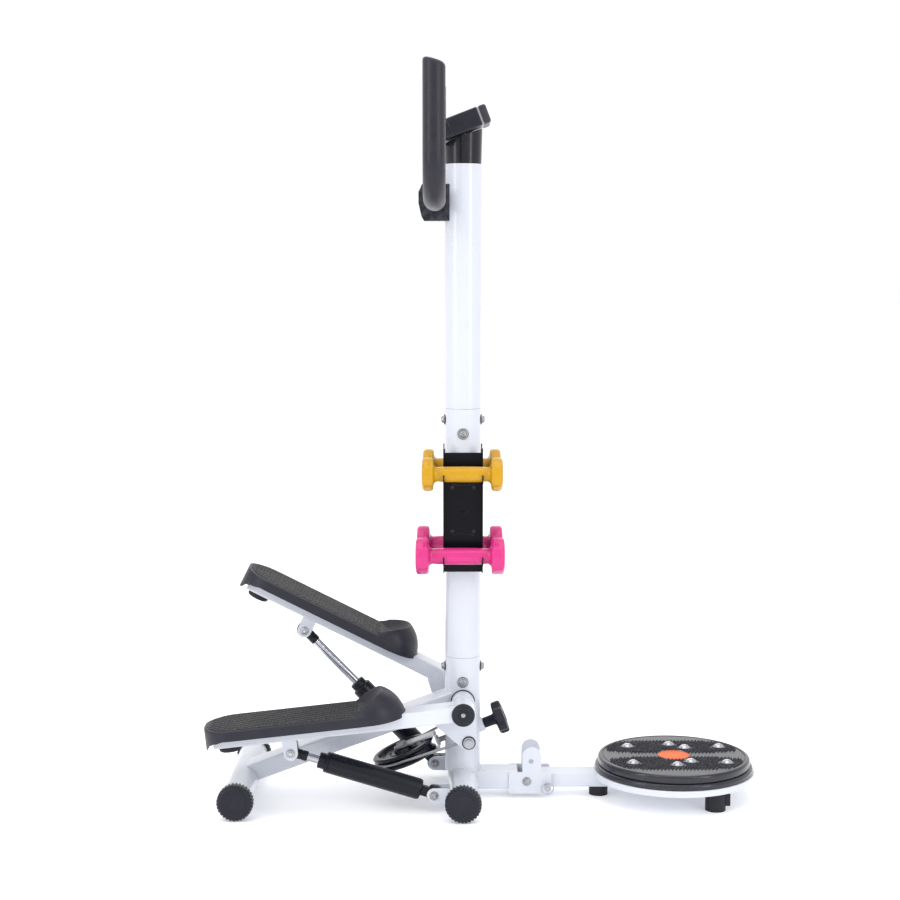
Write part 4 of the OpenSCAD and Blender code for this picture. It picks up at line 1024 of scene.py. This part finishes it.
def bracket_heads(side):
    """Heads on both ends of the pin through a pedal's bracket."""
    low, high = local_box(side + "_bracket", PEDAL[side])
    for s in (-1, 1):
        y = high.y - 4 * MM if s > 0 else low.y + 4 * MM
        x, z = (low.x + high.x) / 2, low.z + 12 * MM
        head = bolt((x, y - 0.05 * MM * s, z), (0, s, 0), 7.6 * MM, 6.3 * MM, 3.7 * MM, 1.2 * MM)
        piece(side + ("_inner" if s < 0 else "_outer") + "_bracket_head", *head, side + "_pedal", "zinc",
              matrix=PEDAL[side], material=BOLT_ZINC)


def axle_screws():
    """Domed screws sunk in the axle caps, and the caps themselves."""
    parts, caps = [], []
    for low, high in islands("axle_caps"):
        centre, radius = (low + high) / 2, (high.z - low.z) / 2
        s = 1 if centre.y > 0 else -1
        seat = Vector((centre.x, low.y if s > 0 else high.y, centre.z))
        cap = [(0, radius - 1 * MM), (0, radius), (2.6 * MM, radius), (4.4 * MM, radius - 0.9 * MM),
               (5.6 * MM, radius - 2.6 * MM), (6.3 * MM, radius - 5 * MM), (6.4 * MM, 10.4 * MM),
               (5.8 * MM, 9.2 * MM), (4.2 * MM, 8 * MM), (4.1 * MM, 2 * MM)]
        caps.append(moved(lathe(cap, 64), axes(seat, (1, 0, 0), (0, s, 0))))
        head = [(3.9 * MM, 3.6 * MM), (4.6 * MM, 3.5 * MM), (5.2 * MM, 2.8 * MM), (5.5 * MM, 1.6 * MM),
                (5.5 * MM, 0.2 * MM)]
        parts.append(moved(lathe(head, 32), axes(seat, (1, 0, 0), (0, s, 0))))
    piece("pivot_caps", *joined(*caps), "frame", "black_plastic", ["axle_caps"])
    piece("axle_screws", *joined(*parts), "frame", "zinc", material=BOLT_ZINC)


def seam_shadow_rings():
    """Dark hairline rings where the column tubes meet: painted shadow lines in the joints."""
    rings = []
    for z in (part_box("base_post")[1].z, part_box("lower_column")[1].z):
        profile = [(-0.35 * MM, COLUMN_R - 1 * MM), (-0.35 * MM, COLUMN_R + 0.06 * MM),
                   (0.35 * MM, COLUMN_R + 0.06 * MM), (0.35 * MM, COLUMN_R - 1 * MM)]
        rings.append(moved(lathe(profile, 96), Matrix.Translation((COLUMN_X, 0, z))))
    piece("seam_shadow_rings", *joined(*rings), "frame", "console_grey", material=LIGHT_SEAM)


def holder_marks():
    """Round spot-weld marks and thin arcs on the faces of the dumbbell holders."""
    low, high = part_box("dumbbell_holders")
    spot = lathe([(-0.5 * MM, 3.4 * MM), (0.15 * MM, 3.4 * MM), (0.35 * MM, 2.8 * MM), (0.1 * MM, 2 * MM),
                  (0.1 * MM, 0.2 * MM)], 24)
    marks = []
    for s in (-1, 1):
        face = s * (COLUMN_R + 2.2 * MM)
        for z in (low.z + 68 * MM, high.z - 66 * MM):
            for dx in (-18, 18):
                marks.append(moved(spot, axes((COLUMN_X + dx * MM, face, z), (1, 0, 0), (0, s, 0))))
        for z, lift in ((low.z + 66 * MM, -1), (high.z - 64 * MM, 1)):
            path = [Vector((COLUMN_X + 17 * MM * math.sin(a), face + s * 0.25 * MM,
                            z + lift * 5 * MM * (1 - math.cos(a) * 0.6)))
                    for a in [math.pi / 2 * (k / 10 - 1) for k in range(21)]]
            marks.append(bead(path, 0.9 * MM))
    piece("holder_marks", *joined(*marks), "frame", "gloss_black")


def arc(centre, u, v, radius, start, end, count):
    """Points of an arc from start to end degrees, in the plane of u and v."""
    return [Vector(centre) + Vector(u) * (radius * math.cos(a)) + Vector(v) * (radius * math.sin(a))
            for a in [math.radians(start + (end - start) * k / count) for k in range(count + 1)]]


def welds():
    """Painted weld beads where the tubes of the base meet."""
    beads, wobble = [], 0.16
    low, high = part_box("front_stabilizer")
    tube_r, tube_z = (high.z - low.z) / 2, (high.z + low.z) / 2
    saddle = []
    for k in range(73):
        a = 2 * math.pi * k / 72
        x, y = COLUMN_R * math.cos(a), COLUMN_R * math.sin(a)
        drop = math.sqrt(max(tube_r ** 2 - x ** 2, 0))
        saddle.append(Vector((COLUMN_X + x * 1.01, y * 1.01, tube_z + drop)))
    keep = [p for p in saddle if abs(p.x - COLUMN_X) < tube_r * 0.98]
    for s in (-1, 1):
        run = sorted([p for p in keep if p.y * s > 0], key=lambda p: p.x)
        beads.append(bead(run, 1.6 * MM, wobble, 3 + s))
    beam_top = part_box("front_beam")[1].z
    for s in (-1, 1):
        y = s * 25 * MM
        route = ((17.5, y, 0.2), (26, y * 0.64, 0), (29.5, y * 0.3, 0), (30.3, 0, 0))
        path = [Vector((COLUMN_X + x * MM, across, beam_top + lift * MM)) for x, across, lift in route]
        beads.append(bead(path, 1.5 * MM, wobble, 11 + s))
    piece("frame_welds", *joined(*beads), "frame", "white_paint", crease=180)
    for side in SIDES:
        low, high = local_box(side + "_bracket", PEDAL[side])
        under = -12.5 * MM
        runs = []
        for y in (low.y + 4 * MM, high.y - 4 * MM):
            out = -0.4 * MM if y < 0 else 0.4 * MM
            path = [Vector((low.x + (high.x - low.x) * k / 8, y + out, under)) for k in range(9)]
            runs.append(bead(path, 1.4 * MM, wobble, 21))
        lever_low, lever_high = local_box(side + "_lever", PEDAL[side])
        ear = lever_low.y if abs(lever_low.y) > abs(lever_high.y) else lever_high.y
        edge = math.copysign(25.6 * MM, ear)
        path = [Vector(((30 + 3.4 * k) * MM, edge, under + 0.4 * MM)) for k in range(10)]
        runs.append(bead(path, 1.5 * MM, wobble, 31))
        piece(side + "_pedal_welds", *joined(*runs), side + "_pedal", "white_paint", matrix=PEDAL[side],
              crease=180)


column_bolts()
pivot_heads()
for side in SIDES:
    bracket_heads(side)
axle_screws()
seam_shadow_rings()
holder_marks()
welds()

# ---------- rope ----------


def rope_half(side, sign):
    """Half the rope: from the far side of the wheel round to its tangent and on to the lever's anchor."""
    low, high = local_box("rope", SCREW)
    r = 2.5 * MM
    groove = (high.y - low.y) / 2 - 0.1 * MM - r
    centre_x = low.x + r + groove
    eye_low, eye_high = local_box(side + "_rope_anchor", SCREW)
    anchor = Vector(((eye_low.x + eye_high.x) / 2, sign * groove, (eye_low.z + eye_high.z) / 2))
    path = [Vector((centre_x - groove * math.cos(a), sign * groove * math.sin(a), 0))
            for a in quarter(24)]
    start = path[-1]
    run = anchor - start
    stop = run.length - 8.3 * MM
    path += [start + run * (stop * k / 14 / run.length) for k in range(1, 15)]
    rings = []
    for i, point in enumerate(path):
        along = (path[min(i + 1, len(path) - 1)] - path[max(i - 1, 0)]).normalized()
        side_way = along.cross(Vector((0, 0, 1))).normalized()
        up = side_way.cross(along)
        ring = []
        for a in turns(20):
            strand = r * (0.965 + 0.035 * math.cos(6 * a + i * 1.9))
            ring.append(point + side_way * (strand * math.cos(a)) + up * (strand * math.sin(a)))
        rings.append(ring)
    obj = mesh_object(side + "_rope", *loft(rings), MATERIALS["rope"], SCREW)
    if side == "left":
        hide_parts("rope")
    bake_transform(obj)


for side, sign in SIDES.items():
    rope_half(side, sign)

# ---------- adjuster fork, wheel and anchors ----------


def strap_outline(x_bolt, x_web, half):
    """Plan of one strap arm: a round end at the bolt, straight sides to the web."""
    end = arc((x_bolt, 0, 0), (1, 0, 0), (0, 1, 0), half, 90, 270, 24)
    return end + [Vector((x_web, -half, 0)), Vector((x_web, half, 0))]


def fork():
    """Bent strap with round ends, a radiused web and the adjusting screw with rolled threads."""
    low, high = local_box("fork", SCREW)
    bolt_low, bolt_high = local_box("wheel_bolt", SCREW)
    x_bolt, half, t = (bolt_low.x + bolt_high.x) / 2, (high.y - low.y) / 2, 3 * MM
    x_web, top, bend = -COLUMN_R - 15 * MM, high.z, 4 * MM
    middle, span = (x_bolt + x_web) / 2, abs(x_bolt - x_web)
    outline = strap_outline(x_bolt, x_web - bend, half)
    parts = []
    for s in (-1, 1):
        rings = []
        for z, inset in ((top - t, 0.3), (top - t + 0.3 * MM, 0), (top - 0.5 * MM, 0), (top, 0.5)):
            long, wide = 1 - inset * MM / span, 1 - inset * MM / half
            rings.append([Vector((middle + (p.x - middle) * long, p.y * wide, z * s)) for p in outline])
        parts.append(loft(rings))
    loop = []
    for radius, order in ((bend, 1), (bend - t, -1)):
        curve = [(x_web - bend + radius * math.sin(a), top - bend + radius * math.cos(a)) for a in quarter(6)]
        loop += (curve + [(x, -z) for x, z in reversed(curve)])[::order]
    across = (-half, -half + 0.4 * MM, half - 0.4 * MM, half)
    parts.append(loft([[Vector((x, y, z)) for x, z in loop] for y in across]))
    thread, pitch = [], 1.6 * MM
    z = x_web - 1 * MM
    while z < high.x - 1.6 * MM:
        thread += [(z, 4.5 * MM), (z + 0.5 * pitch, 5 * MM)]
        z += pitch
    thread += [(high.x - 1 * MM, 4.4 * MM), (high.x, 3.6 * MM)]
    parts.append(moved(lathe(thread, 28), ALONG_X))
    nut = [(x_web, 8.4 * MM), (x_web + 0.3 * MM, 9 * MM), (x_web + 2.2 * MM, 9 * MM),
           (x_web + 2.6 * MM, 8.4 * MM)]
    parts.append(moved(lathe(nut, 36, lambda angle, z: hexagon(angle, 0.866)), ALONG_X))
    piece("adjuster_strap", *joined(*parts), "adjuster", "zinc", ["fork"], SCREW)


def wheel():
    """Rope wheel with a rounded rim, a dished web with stiffening rings and a hub."""
    low, high = local_box("wheel", SCREW)
    r, t = (high.x - low.x) / 2, (high.z - low.z) / 2
    centre = Vector(((low.x + high.x) / 2, 0, 0))
    # Half height and radius in millimetres, for a wheel 110 across and 22 thick: the side, then the groove
    side = [(10, 5.1), (11, 5.1), (11, 14.5), (10.2, 15.6), (5.2, 17), (5, 22), (5.6, 23), (6.4, 24.5),
            (5.6, 26), (5, 27), (5, 33), (5.6, 34), (6.2, 35.4), (5.6, 37), (5, 38), (5.2, 41), (6.2, 42.6),
            (9, 43.4), (10.4, 44.2), (11, 45.2), (11, 52), (10.4, 52.8), (9.4, 53.2), (9, 54.4), (8.4, 55),
            (8.0, 55)]
    groove = [(7.4, 54.6), (6.4, 54), (5.2, 53), (4.3, 51.9), (3.6, 51.0), (2.4, 50.4), (1.2, 50.15),
              (0, 50.1)]
    half = [(z * t / 11, q * r / 55) for z, q in side + groove]
    loop = half + [(-z, q) for z, q in reversed(half[:-1])]
    rings = [circle(centre + Vector((0, 0, z)), Vector((1, 0, 0)), Vector((0, 1, 0)), q, 96) for z, q in loop]
    piece("rope_wheel", *loft(rings, True), "pulley", "gloss_black", ["wheel"], SCREW, 30)


def anchor_ring(side):
    """Dark cushion behind the head of a rope's anchor bolt."""
    low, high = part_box(side + "_rope_anchor")
    sign = SIDES[side]
    face = high.y if abs(high.y) > abs(low.y) else low.y
    seat = Vector(((low.x + high.x) / 2, face - sign * 7.5 * MM, (low.z + high.z) / 2))
    ring = dark_ring(seat, (0, sign, 0), 9.2 * MM, 11.4 * MM, 1.2 * MM)
    piece(side + "_anchor_ring", *ring, side + "_pedal", "black_plastic", material=CUSHION_BLACK)


fork()
wheel()
for side in SIDES:
    anchor_ring(side)

# ---------- floor --------------------


def floor():
    """A wide white sweep that glows a little, as a photographer's table does."""
    mesh = bpy.data.meshes.new("floor")
    width, near, far = 14, -6, 30
    rim = [(-width, near, 0), (width, near, 0), (width, far, 0), (-width, far, 0)]
    mesh.from_pydata(rim, [], [(0, 1, 2, 3)])
    obj = bpy.data.objects.new("floor", mesh)
    bpy.context.scene.collection.objects.link(obj)
    glow = (0.95, 0.96, 1.0, 1)
    shader = Shader("floor", Emission_Color=glow, Emission_Strength=0.22, Specular_IOR_Level=0.2)
    varied(shader, (0.93, 0.935, 0.95), 0.01, 1.2, 0.55, 0.05)
    shader.bump(shader.noise(40, 2), 0.00005, 0.1)
    obj.data.materials.append(shader.material)


floor()
